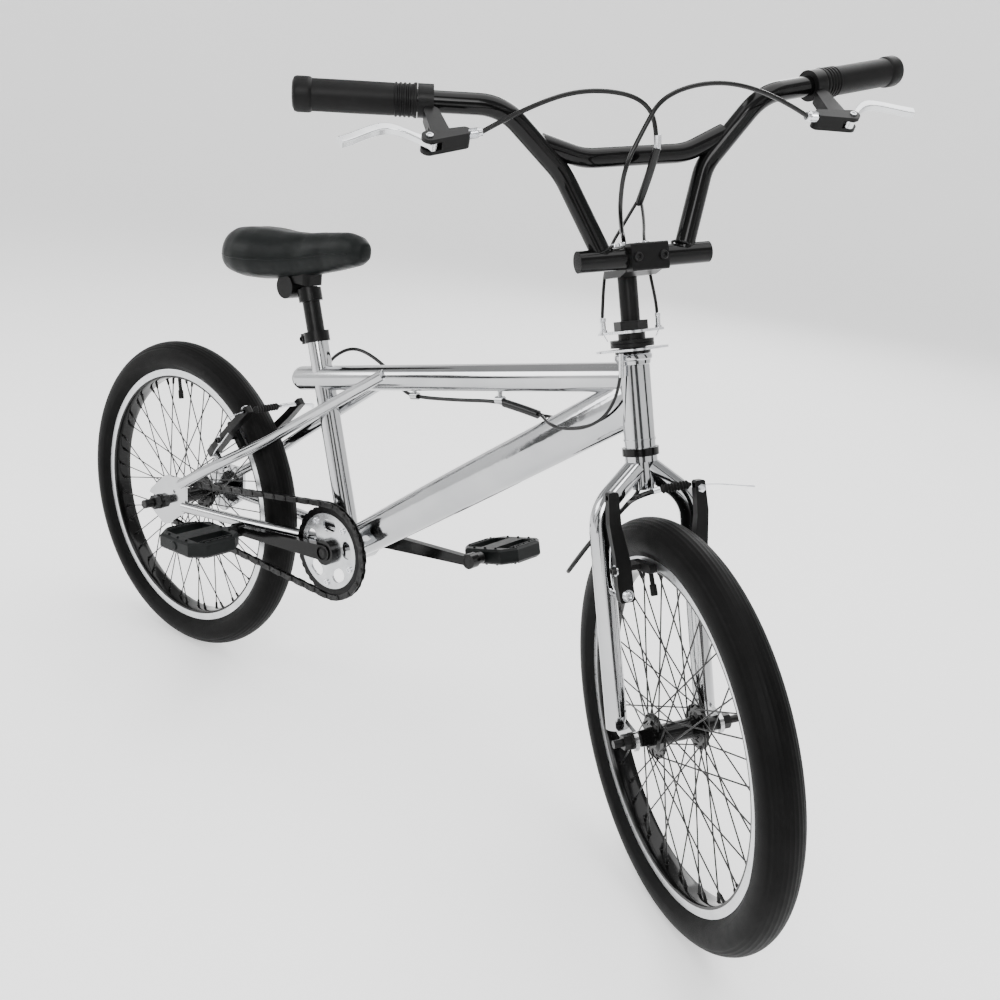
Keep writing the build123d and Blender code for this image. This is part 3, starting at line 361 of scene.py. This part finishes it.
def facing(origin, direction):
    """A place whose z looks along a direction."""
    z = direction.normalized()
    x = z.orthogonal().normalized()
    return place(origin, x, z)


def socket_bolt(radius, height):
    """The profile of a round bolt head with a hollow for the key."""
    return [
        (radius * 0.02, height * 0.35),
        (radius * 0.5, height * 0.35),
        (radius * 0.55, height * 0.97),
        (radius * 0.86, height),
        (radius, height * 0.82),
        (radius, 0),
    ]


def hexagon(radius, height):
    """The profile of a hexagon head with a bevelled top, for six steps."""
    return [(radius * 0.75, height), (radius, height * 0.86), (radius, 0)]


# ---------------------------------------------------------------- wheels

WHEEL_STEPS = 144
MACHINED_ROWS = (2, 12)
SPOKES_PER_SET = 12
FLANGE_RADIUS = 0.023
FLANGE_OUT = 0.0276
NIPPLE_SEAT = 0.1947
SPOKE_LEAN = 60


def tyre_profile():
    """The outer casing with a rounded tread and a rim bead, as (radius, place across)."""
    middle = 0.2286
    section = 0.0254
    outline = []
    for step in range(57):
        turn = radians(-112 + 4 * step)
        swell = 0.0
        if abs(turn) < radians(58):
            swell = -0.00035
            if step % 3 == 0:
                swell = -0.0010
        across = (section + swell) * sin(turn)
        outline.append((middle + (section + swell) * cos(turn), across))
    outline += [(0.2105, 0.0152), (0.2102, 0.0128), (0.2105, 0.0)]
    outline += [(0.2102, -0.0128), (0.2105, -0.0152)]
    return outline


def rim_profile():
    """The rim's section, from one bead edge round the bed to the other."""
    half = [
        (0.2100, 0.0128),
        (0.2103, 0.0140),
        (0.2098, 0.0153),
        (0.1994, 0.0155),
        (0.1986, 0.0155),
        (0.1962, 0.0150),
        (0.1949, 0.0122),
        (0.1943, 0.0060),
    ]
    inner = [(radius, -across) for radius, across in reversed(half)]
    back = [(0.1990, -0.0120), (0.1990, 0.0120)]
    return half + inner + back


def spoke_lines():
    """Where each spoke meets the rim and which way it runs, in the wheel's own place."""
    lines = []
    for side in (1, -1):
        for lead in (1, -1):
            first = (7.5 if side > 0 else 0) + (15 if lead < 0 else 0)
            across = side * (FLANGE_OUT + (0.0038 if lead > 0 else -0.00265))
            for count in range(SPOKES_PER_SET):
                at_rim = radians(first + count * 360 / SPOKES_PER_SET)
                at_hub = at_rim - radians(lead * SPOKE_LEAN)
                start = Vector((cos(at_hub), 0, sin(at_hub))) * FLANGE_RADIUS
                start.y = across
                end = Vector((cos(at_rim), 0, sin(at_rim))) * NIPPLE_SEAT
                end.y = side * 0.0025
                lines.append((start, end))
    return lines


def wheel(name, at, body, body_axes):
    """The tyre, the rim with its machined sides, the nipples and the valve of one wheel."""
    tyre = turned(
        f"{name} tyre casing", tyre_profile(), at, tyre_rubber, body, WHEEL_STEPS, closed=True
    )
    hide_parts(f"{name}_tyre")
    rim = turned(
        f"{name} rim hoop", rim_profile(), at, black_gloss, body, WHEEL_STEPS, closed=True
    )
    rim.data.materials.append(machined)
    for face in rim.data.polygons:
        if face.index // WHEEL_STEPS in MACHINED_ROWS:
            face.material_index = 1
    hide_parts(f"{name}_rim")
    nipples = []
    for start, end in spoke_lines():
        inward = (start - end).normalized()
        shape = lathe(
            [(0.0004, -0.001), (0.0030, -0.001), (0.0030, 0.0006), (0.0021, 0.0012),
             (0.0020, 0.0085), (0.0013, 0.0105)], 8
        )
        nipples.append((*shape, facing(end, inward)))
    points, faces = gathered(nipples)
    mesh_piece(f"{name} nipples", points, faces, black_oxide, body, body_axes)
    stem_shape = lathe(
        [(0.0034, 0.006), (0.0034, 0.001), (0.0029, -0.001), (0.0029, -0.022), (0.0042, -0.0225),
         (0.0044, -0.034), (0.0040, -0.036)], 16
    )
    turn = radians(101.25)
    valve_at = Vector((0.196 * cos(turn), 0, 0.196 * sin(turn)))
    points, faces = gathered([(*stem_shape, facing(valve_at, valve_at))])
    mesh_piece(f"{name} valve", points, faces, pad_rubber, body, body_axes)


FRONT_AXES = place(FOOT + AHEAD * 0.039, AHEAD, UP_STEER)
wheel("rear", REAR_WHEEL, "rear_wheel", Matrix.Identity(4))
wheel("front", FRONT_WHEEL, "front_wheel", FRONT_AXES)

# ---------------------------------------------------------------- saddle

SADDLE = [
    (100, 22, 407, 438),
    (109, 38, 394, 451),
    (128, 50, 389, 459),
    (152, 55, 388, 462),
    (182, 53, 391, 463),
    (220, 43, 399, 462),
    (262, 32, 410, 465),
    (305, 25, 423, 473),
    (338, 22, 432, 480),
    (360, 18, 438, 478),
    (373, 11, 447, 471),
]


def between(table, ahead):
    """A row of the saddle's table at any place along it."""
    for low, high in zip(table, table[1:]):
        if low[0] <= ahead <= high[0]:
            share = (ahead - low[0]) / (high[0] - low[0])
            share = share * share * (3 - 2 * share) * 0.35 + share * 0.65
            return [a + (b - a) * share for a, b in zip(low, high)]
    return table[-1]


def saddle_shell():
    """A closed padded shell: domed above, tucked in below, with a shallow channel along it."""
    around = 40
    rear, front, steps = 100, 373, 44
    stations = [rear + (front - rear) * k / steps for k in range(steps + 1)]
    points = []
    faces = []
    for ahead in stations:
        x, half, low, crest = between(SADDLE, ahead)
        for k in range(around):
            turn = 2 * pi * k / around
            side = cos(turn)
            rise = sin(turn)
            across = half * (abs(side) ** 0.80) * (1 if side > 0 else -1)
            middle = low + (crest - low) * 0.40
            if rise > 0:
                height = middle + (crest - middle) * rise ** 0.9
                tail = max(0.0, min(1.0, (260 - x) / 110))
                channel = 3.0 * tail * max(0.0, 1 - (across / 16) ** 2)
                height -= channel if rise > 0.5 else 0.0
            else:
                height = middle - (middle - low) * (-rise) ** 0.6
                across *= 1 - 0.12 * (-rise)
            points.append(mm(x, across, height))
    rows = len(stations)
    for row in range(rows - 1):
        for k in range(around):
            a = row * around + k
            b = row * around + (k + 1) % around
            faces.append((a, b, b + around, a + around))
    faces.append(tuple(range(around)))
    faces.append(tuple(range((rows - 1) * around, rows * around)))
    return points, faces


def puffed(piece, pressure, cap):
    """Fills a closed cover with a cloth simulation and keeps every point within a cap."""
    remesh = piece.modifiers.new("even", "REMESH")
    remesh.mode = "VOXEL"
    remesh.voxel_size = 0.005
    bpy.context.view_layer.objects.active = piece
    bpy.ops.object.modifier_apply(modifier="even")
    before = [v.co.copy() for v in piece.data.vertices]
    cloth = piece.modifiers.new("fill", "CLOTH")
    cloth.settings.use_pressure = True
    cloth.settings.uniform_pressure_force = pressure
    cloth.settings.effector_weights.gravity = 0
    cloth.settings.tension_stiffness = 25
    cloth.settings.compression_stiffness = 25
    cloth.point_cache.frame_start = 1
    cloth.point_cache.frame_end = 20
    for step in range(1, 21):
        bpy.context.scene.frame_set(step)
    filled = piece.evaluated_get(bpy.context.evaluated_depsgraph_get()).data
    after = [v.co.copy() for v in filled.vertices]
    piece.modifiers.remove(cloth)
    bpy.context.scene.frame_set(1)
    for vertex, old, new in zip(piece.data.vertices, before, after):
        move = new - old
        if move.length > cap:
            move = move.normalized() * cap
        vertex.co = old + move


points, faces = saddle_shell()
saddle = mesh_piece("saddle cover", points, faces, saddle_cover, "seat")
puffed(saddle, 4.0, 0.003)
subdivision = saddle.modifiers.new("smooth", "SUBSURF")
subdivision.levels = 1
subdivision.render_levels = 1
bpy.context.view_layer.objects.active = saddle
bpy.ops.object.modifier_apply(modifier="smooth")
saddle.data.shade_smooth()
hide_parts("saddle")

for side in (1, -1):
    seam = []
    for ahead in range(116, 366, 14):
        x, half, low, crest = between(SADDLE, ahead)
        beside = mm(x, side * (half + 6), low + (crest - low) * 0.40)
        seam.append(saddle.closest_point_on_mesh(beside)[1] * 1000)
    strand(f"saddle seam {side}", seam, 0.0009, saddle_cover, "seat")

# ---------------------------------------------------------------- cables

rear_route = [
    (704, 0, 312), (662, 0, 313.5), (624, 0, 312.5), (557, 0, 297.5), (489, 0, 285),
    (450, 12, 282), (415, 31, 293), (370, 31, 312), (328, 30, 317), (287, 31, 294),
    (256, 44, 262), (236, 66, 240),
]
piece = strand("rear housing", rear_route, 0.0025, housing, "frame")
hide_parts("rear_brake_cable")
for side in (-1, 1):
    leg = [
        (815.7, side * 25.5, 417.5), (821, side * 25.5, 384), (810, side * 26, 345),
        (785, side * 26, 323), (756, side * 24, 313), (728, side * 23.5, 309.5),
        (700, side * 2.8, 312.3),
    ]
    strand(f"lower detangler leg {side}", leg, 0.0019, housing, "frame")
    strand(f"lower leg adjuster {side}", [leg[0], (820, side * 25.5, 391)], 0.0029, zinc, "frame")
lower_sheath = [(692, 0, 311.8), (664, 0, 313.2), (637, 0, 313.2)]
strand("lower splitter", lower_sheath, 0.0054, housing, "frame")

single = [
    (91, -185, 679), (98, -135, 701), (98, -70, 716), (92, 0, 704), (84, 10, 656), (66, 2, 623),
    (44, 0, 602),
]
piece = strand("rear upper cable", single, 0.0025, housing, "steering", FORK)
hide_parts("rear_brake_upper_cable")
right_leg = [
    (46, -2.8, 604), (12, -6, 583), (-22, -9, 562), (-24, -18, 528), (-8, -30, 492),
    (-1, -34, 482),
]
left_leg = [
    (46, 2.8, 604), (18, 18, 587), (-20, 33, 567), (-24, 40, 528), (-6, 37, 492), (-1, 34, 482),
]
strand("upper right leg", right_leg, 0.0019, housing, "steering", FORK)
strand("upper left leg", left_leg, 0.0019, housing, "steering", FORK)
sheath = [(84, 8, 655), (76, 5, 640), (63, 1.5, 620), (47, 0, 604)]
strand("upper splitter", sheath, 0.0044, housing, "steering", FORK)
ferrule = [(88, 8, 668), (86, 9, 661), (84, 8, 655)]
strand("splitter ferrule", ferrule, 0.0036, zinc, "steering", FORK)

upper = [
    (91, 185, 679), (104, 140, 700), (114, 70, 716), (116, 4, 704), (114, -22, 668),
    (108, -42, 634), (88, -41, 602), (48, -24, 577), (18, -9, 573), (0, 0, 556), (0, 0, 520),
]
piece = strand("front upper cable", upper, 0.0025, housing, "steering", FORK)
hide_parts("front_brake_cable")
lower = [
    (0, 0, 326), (0, 0, 290), (-18, -10, 266), (-50, -30, 240), (-66, -56, 208), (-52, -84, 188),
    (-34, -88, 194), (-24, -56, 232), (-20, -30, 250), (4, -22, 271),
]
strand("front lower cable", lower, 0.0025, housing, "steering", FORK)

noodle_route = [(-6.5, 3, 115), (-6.5, -17, 112), (-20, -23, 106), (-34.5, -21.2, 101)]
piece = strand("front noodle", noodle_route, 0.0031, housing, "front_arm_right", FRONT_BRAKE)
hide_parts("front_brake_noodle")
strand(
    "front noodle tip", [(-6.5, 4.5, 115.2), (-6.5, -4, 114)], 0.0037, zinc, "front_arm_right",
    FRONT_BRAKE,
)
rear_pipe = [(-6.5, -12, 114), (-6.5, -74, 114), (-6.5, -88, 96)]
piece = strand("rear noodle", rear_pipe, 0.0031, zinc, "rear_arm_left", REAR_BRAKE)
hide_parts("rear_brake_noodle")

# ---------------------------------------------------------------- brakes


def boot(name, start, end, body, at):
    """A pleated rubber sleeve over the bare wire between a noodle and the other arm."""
    a = at @ mm(*start)
    b = at @ mm(*end)
    length = (b - a).length
    profile = [(0.0022, 0)]
    pleats = 9
    for k in range(pleats):
        base = length * (0.06 + 0.86 * k / pleats)
        profile += [(0.0036, base), (0.0056, base + length * 0.048)]
    profile += [(0.0034, length * 0.93), (0.0022, length)]
    return turned(name, profile, facing(a, b - a), pad_rubber, body, 20)


front_boot = boot("front boot", (-6.5, 5, 115), (-6.5, 44, 116), "steering", FRONT_BRAKE)
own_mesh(front_boot)
rear_boot = boot("rear boot", (-6.5, -10, 114), (-6.5, 41, 114), "frame", REAR_BRAKE)
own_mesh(rear_boot)


def brake_trim(name, at, top_out, up, side, body, wire):
    """An arm's pivot bolt and washer, its return spring, its pad holder and its cable bolt."""
    pivot = at @ mm(0, side * 47, 0)
    out = (at.to_3x3() @ Vector((1, 0, 0))).normalized()
    turned(f"{name} pivot washer", [(0.0010, 0.0012), (0.0072, 0.0012), (0.0072, 0)],
           facing(pivot - out * 0.0010, out), zinc, body, 24)
    turned(f"{name} pivot bolt", socket_bolt(0.0052, 0.0042), facing(pivot + out * 0.0002, out),
           zinc, body, 24)
    spring = [
        (-13, side * 52, -4), (-15, side * 57, 4), (-14.5, side * 60, 20), (-13.5, side * 60, 44),
        (-11, side * 58, 62),
    ]
    strand(f"{name} return spring", spring, 0.0009, zinc, body, at)
    across = at.to_3x3() @ Vector((0, side, 0))
    nut_at = at @ mm(-6.5, side * (47 + 9.5), up)
    turned(f"{name} pad washer", [(0.001, 0.0016), (0.0068, 0.0016), (0.0068, 0)],
           facing(nut_at, across), zinc, body, 24)
    turned(f"{name} pad nut", socket_bolt(0.0048, 0.0048),
           facing(nut_at + across * 0.0014, across), black_oxide, body, 24)
    if wire:
        clamp_at = at @ mm(-1, side * (47 + top_out), 111)
        turned(f"{name} cable bolt", hexagon(0.0052, 0.0036), facing(clamp_at, out), zinc, body, 6)


for name, side in (("left", 1), ("right", -1)):
    brake_trim(f"front {name}", FRONT_BRAKE, 7, 30, side, f"front_arm_{name}", side > 0)
for name, side in (("right", 1), ("left", -1)):
    brake_trim(f"rear {name}", REAR_BRAKE, 3, 34, side, f"rear_arm_{name}", side > 0)
tail = [(33.5, 54, 285), (33.5, 72, 284), (33.5, 98, 279), (33.5, 122, 274)]
strand("front wire tail", tail, 0.0009, zinc, "front_arm_left", FORK)
tail_cap = [(33.5, 117, 275), (33.5, 126, 273.3)]
strand("front wire cap", tail_cap, 0.0013, zinc, "front_arm_left", FORK)
rear_tail = [(-6.5, 50, 114), (-6.5, 66, 113), (-9, 84, 106)]
strand("rear wire tail", rear_tail, 0.0007, zinc, "rear_arm_right", REAR_BRAKE)

# ---------------------------------------------------------------- headset and detangler

for side in (-1, 1):
    ear = FORK @ mm(0, side * 34, 467.5)
    profile = [
        (0.0024, 0), (0.0042, 0), (0.0042, 0.0028), (0.0030, 0.0032), (0.0030, 0.0120),
        (0.0036, 0.0124), (0.0036, 0.0165), (0.0022, 0.0170),
    ]
    turned(f"upper adjuster {side}", profile, facing(ear, UP_STEER), zinc, "steering", 20)
    strand(
        f"detangler wire {side}", [(0, side * 34, 464.6), (0, side * 30, 457)], 0.0007, zinc,
        "steering", FORK,
    )
for low, high, radius, body in ((341, 343.5, 19.0, "frame"), (437.5, 441, 18.9, "frame")):
    tall = high - low
    ring = [(radius - 1.4, 0), (radius, 0.4), (radius, tall - 0.4), (radius - 1.4, tall)]
    profile = [(r / 1000, h / 1000) for r, h in ring]
    turned(
        f"head tube ring {low}", profile, facing(FORK @ mm(0, 0, low), UP_STEER), chrome, body, 48
    )

flange = [(0.0180, 0), (0.0192, 0.0010), (0.0198, 0.0050), (0.0212, 0.0062)]
flange += [(0.0216, 0.0072), (0.0216, 0.0112), (0.0204, 0.0124), (0.0180, 0.0124)]
turned("upper cup flange", flange, facing(FORK @ mm(0, 0, 428), UP_STEER), chrome, "frame", 48)

# ---------------------------------------------------------------- bars and stem

for x, y in ((6, 15), (6, -15), (24, 15), (24, -15)):
    spot = facing(FORK @ mm(x, y, 560), UP_STEER)
    bolt = turned(
        f"stem top bolt {x} {y}", socket_bolt(0.0046, 0.0044), spot, zinc, "steering", 24
    )
    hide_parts("stem_bolts")
for y in (15, -15):
    spot = facing(FORK @ mm(66, y, 546), AHEAD)
    turned(f"stem front bolt {y}", socket_bolt(0.0048, 0.0040), spot, black_oxide, "steering", 24)

BAR_START = mm(60, 150, 709)
BAR_END = mm(15, 352, 737)
BAR_WAY = (BAR_END - BAR_START).normalized()


def bar_point(across):
    return BAR_START + BAR_WAY * ((across - BAR_START.y) / BAR_WAY.y)


def grip_profile():
    """A smooth sleeve with rings at its inner end and a thicker rounded closed end."""
    outline = [(0.0112, 0.0), (0.0172, 0.0), (0.0176, 0.0012), (0.0172, 0.0030), (0.0162, 0.0036)]
    for ring in range(4):
        place_along = 0.006 + 0.0045 * ring
        outline += [(0.0158, place_along), (0.0170, place_along + 0.0008)]
        outline += [(0.0170, place_along + 0.0024), (0.0158, place_along + 0.0032)]
    outline += [(0.0160, 0.026), (0.0161, 0.060), (0.0160, 0.1050), (0.0172, 0.1065)]
    outline += [(0.0176, 0.1090), (0.0176, 0.1200), (0.0166, 0.1228), (0.0130, 0.1246)]
    outline += [(0.004, 0.125)]
    return outline


for side in (1, -1):
    start = bar_point(0.2345)
    way = BAR_WAY.copy()
    if side < 0:
        start.y *= -1
        way.y *= -1
    at = facing(FORK @ start, FORK.to_3x3() @ way)
    grip = turned(f"grip sleeve {side}", grip_profile(), at, grip_rubber, "steering", 48)
    if side > 0:
        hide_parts("grips")
    pivot = mm(90, side * 240, 671)
    hinge_way = FORK.to_3x3() @ Vector((0.694, 0, 0.72))
    for end in (1, -1):
        spot = facing(FORK @ pivot + hinge_way * (0.0091 * end), hinge_way * end)
        turned(f"lever pin {side} {end}", socket_bolt(0.0036, 0.0016), spot, zinc, "steering", 20)
    barrel_from = FORK @ mm(88.6, side * 198, 678)
    barrel_way = FORK.to_3x3() @ Vector((3, side * -19, 1))
    knurl = []
    for k in range(8):
        knurl += [(0.0050, 0.0012 * k), (0.0056, 0.0012 * k + 0.0005)]
    turned(
        f"adjuster knob {side}", [(0.003, 0)] + knurl + [(0.0044, 0.0106), (0.0040, 0.0140)],
        facing(barrel_from, barrel_way), zinc, "steering", 20,
    )

# ---------------------------------------------------------------- drivetrain

for k in range(5):
    turn = radians(20 + 36 + 72 * k)
    spot = BB + Vector((0.0475 * cos(turn), -0.0446, 0.0475 * sin(turn)))
    turned(f"chainring stud {k}", socket_bolt(0.0046, 0.0026), facing(spot, Vector((0, -1, 0))),
           zinc, "crank", 20)
for side in (1, -1):
    profile = [(0.0015, 0.0026), (0.0040, 0.0030), (0.0082, 0.0024), (0.0102, 0.0008), (0.0102, 0)]
    turned(f"crank cap {side}", profile, facing(BB + Vector((0, side * CRANK_FACE, 0)),
           Vector((0, side, 0))), black_anodised, "crank", 32)


def pedal_trim(name, side, body, tilt):
    """The tread bars, the pins and the end cap of a pedal."""
    turn = CRANK_TURN if side < 0 else CRANK_TURN + pi
    middle = BB + Vector((CRANK * cos(turn), side * PEDAL_MIDDLE, CRANK * sin(turn)))
    level = Matrix.Translation(middle) @ Matrix.Rotation(-radians(tilt), 4, "Y")
    up = level.to_3x3() @ Vector((0, 0, 1))
    bars = []
    pins = []
    pin_places = [(x, y) for x in (-42, 42) for y in (-24, -12, 0, 12, 24)]
    pin_places += [(x, y) for x in (-20, 0, 20) for y in (-38, 38)]
    for face in (1, -1):
        for x, y in pin_places:
            pins.append((*lathe([(0.0006, 0.0024), (0.0017, 0.0020), (0.0019, 0)], 8),
                         facing(level @ mm(x, y, 10.9 * face), up * face)))
        for x in (-45.5, -38.5, 38.5, 45.5):
            length = 0.044 if abs(x) == 45.5 else 0.058
            spot = level @ (mm(x, 0, 10.7 * face) - Vector((0, length / 2, 0)))
            bars.append((*lathe([(0.0004, 0), (0.0016, 0.0008), (0.0016, length - 0.0008),
                                 (0.0004, length)], 10), facing(spot, Vector((0, 1, 0)))))
    points, faces = gathered(pins + bars)
    mesh_piece(f"{name} tread", points, faces, pedal_plastic, body)
    cap = [(0.001, 0.0022), (0.0058, 0.0020), (0.0070, 0.0008), (0.0070, 0)]
    turned(f"{name} end cap", cap, facing(middle + Vector((0, side * PEDAL_END, 0)),
           Vector((0, side, 0))), pedal_plastic, body, 24)


pedal_trim("left pedal", 1, "pedal_left", 16)
pedal_trim("right pedal", -1, "pedal_right", 4)

# ---------------------------------------------------------------- frame trim


def weld(name, centre, along, radius, thick, body, finish):
    """A fine rippled bead round a joint between two tubes."""
    steps = 96
    around = 8
    ripples = 26
    at = facing(centre, along)
    points = []
    faces = []
    for k in range(steps):
        turn = 2 * pi * k / steps
        ripple = 1 + 0.16 * sin(turn * ripples)
        for j in range(around):
            tube_turn = 2 * pi * j / around
            reach = radius + thick * ripple * cos(tube_turn)
            points.append((reach * cos(turn), reach * sin(turn), thick * ripple * sin(tube_turn)))
    for k in range(steps):
        for j in range(around):
            a = k * around + j
            b = k * around + (j + 1) % around
            c = ((k + 1) % steps) * around + (j + 1) % around
            d = ((k + 1) % steps) * around + j
            faces.append((a, b, c, d))
    return mesh_piece(name, points, faces, finish, body, at)


for name, side in (("left", 1), ("right", -1)):
    weld(f"stem base weld {name}", FORK @ mm(48, side * 47, 556),
         FORK.to_3x3() @ Vector((-6, side * 37, 93)), 0.0112, 0.0014, "steering", black_gloss)
bolt_at = SEAT_TOP - SEAT_UP * 0.0015 - SEAT_AHEAD * 0.022
for side in (1, -1):
    spot = facing(bolt_at + Vector((0, side * 0.0068, 0)), Vector((0, side, 0)))
    turned(f"seat collar bolt {side}", socket_bolt(0.0042, 0.0042), spot, black_oxide, "frame", 24)

# ---------------------------------------------------------------- smooth shading of the CAD nodes

for piece in nodes.values():
    piece.data.shade_smooth()
    piece.data.set_sharp_from_angle(angle=radians(30))

# ---------------------------------------------------------------- stage, light and camera


def stage_mesh(name, points, faces, finish):
    mesh = bpy.data.meshes.new(name)
    mesh.from_pydata([tuple(p) for p in points], [], faces)
    mesh.shade_smooth()
    mesh.materials.append(finish)
    piece = bpy.data.objects.new(name.replace(" ", "_"), mesh)
    bpy.context.scene.collection.objects.link(piece)
    return piece


paper = material("studio paper", grey(0.90), grey(0.885), (0.75, 0.85), scale=2, specular=0.15)
paper.node_tree.nodes["Principled BSDF"].inputs["Emission Color"].default_value = (1, 1, 1, 1)
paper.node_tree.nodes["Principled BSDF"].inputs["Emission Strength"].default_value = 0.45
dark_card = material("dark card", grey(0.05), grey(0.04), (0.8, 0.9), scale=3, specular=0.1)

profile = [(0.0002, 0.0), (4.0, 0.0), (7.0, 0.0)]
profile += [(7.0 + 3.0 * sin(radians(t)), 3.0 - 3.0 * cos(radians(t))) for t in range(10, 91, 10)]
points, faces = lathe(profile + [(10.0, 5.5)], 96)
floor = stage_mesh("floor and sweep", points, faces[:-2], paper)
floor.location = (0.5, 0, -0.2545)


def card(name, centre, toward, width, height):
    """A dark board that shows only as a band in the chrome and casts no shadow."""
    at = facing(Vector(centre), Vector(toward) - Vector(centre))
    corners = [(-width, -height, 0), (width, -height, 0), (width, height, 0), (-width, height, 0)]
    piece = stage_mesh(name, [at @ (Vector(c) / 2) for c in corners], [(0, 1, 2, 3)], dark_card)
    piece.visible_camera = False
    piece.visible_diffuse = False
    piece.visible_shadow = False


card("dark card low", (1.0, -2.6, -0.02), (0.5, 0, 0.15), 2.6, 0.34)
card("dark card high", (0.1, -0.2, 2.3), (0.4, 0, 0.1), 0.5, 2.2)
card("dark card side", (2.6, 0.8, 0.6), (0.6, 0, 0.2), 0.4, 1.5)
card("dark card tall", (2.9, -1.6, 0.5), (0.8, 0, 0.2), 0.85, 2.0)
card("dark card left", (1.3, -2.9, 0.5), (0.8, 0, 0.2), 0.6, 1.9)
card("dark card wide", (0.2, -3.0, 0.9), (0.4, 0, 0.2), 2.2, 0.3)
card("dark card rear", (-1.6, -2.2, 0.4), (0.2, 0, 0.1), 0.4, 1.3)


def lamp(name, spot, toward, size, power):
    light = bpy.data.lights.new(name, "AREA")
    light.shape = "RECTANGLE"
    light.size = size[0]
    light.size_y = size[1]
    light.energy = power
    piece = bpy.data.objects.new(name.replace(" ", "_"), light)
    bpy.context.scene.collection.objects.link(piece)
    piece.matrix_world = facing(Vector(spot), Vector(spot) - Vector(toward))
    return piece


centre = (0.5, 0, 0.2)
lamp("overhead", (0.6, 0.2, 3.4), centre, (4.5, 4.0), 190)
lamp("key", (2.6, -3.2, 2.2), centre, (2.4, 1.8), 120)
lamp("fill", (-2.4, -3.0, 1.8), centre, (2.2, 1.8), 70)
lamp("back", (-0.6, 3.6, 2.2), centre, (3.0, 1.6), 70)

world = bpy.data.worlds.new("studio")
world.use_nodes = True
world.node_tree.nodes["Background"].inputs["Color"].default_value = (1, 1, 1, 1)
world.node_tree.nodes["Background"].inputs["Strength"].default_value = 0.6
bpy.context.scene.world = world

lens = bpy.data.cameras.new("camera")
lens.lens = 42.12
lens.sensor_width = 36
camera = bpy.data.objects.new("camera", lens)
bpy.context.scene.collection.objects.link(camera)
azimuth = radians(37.86)
elevation = radians(18.69)
roll = radians(6.54)
back = Vector((sin(azimuth) * cos(elevation), -cos(azimuth) * cos(elevation), sin(elevation)))
right = Vector((0, 0, 1)).cross(back).normalized()
up = back.cross(right)
tilted_right = right * cos(roll) + up * sin(roll)
tilted_up = up * cos(roll) - right * sin(roll)
rotation = Matrix((tilted_right, tilted_up, back)).transposed().to_4x4()
camera.matrix_world = Matrix.Translation((1.52415, -1.12750, 0.66969)) @ rotation
bpy.context.scene.camera = camera
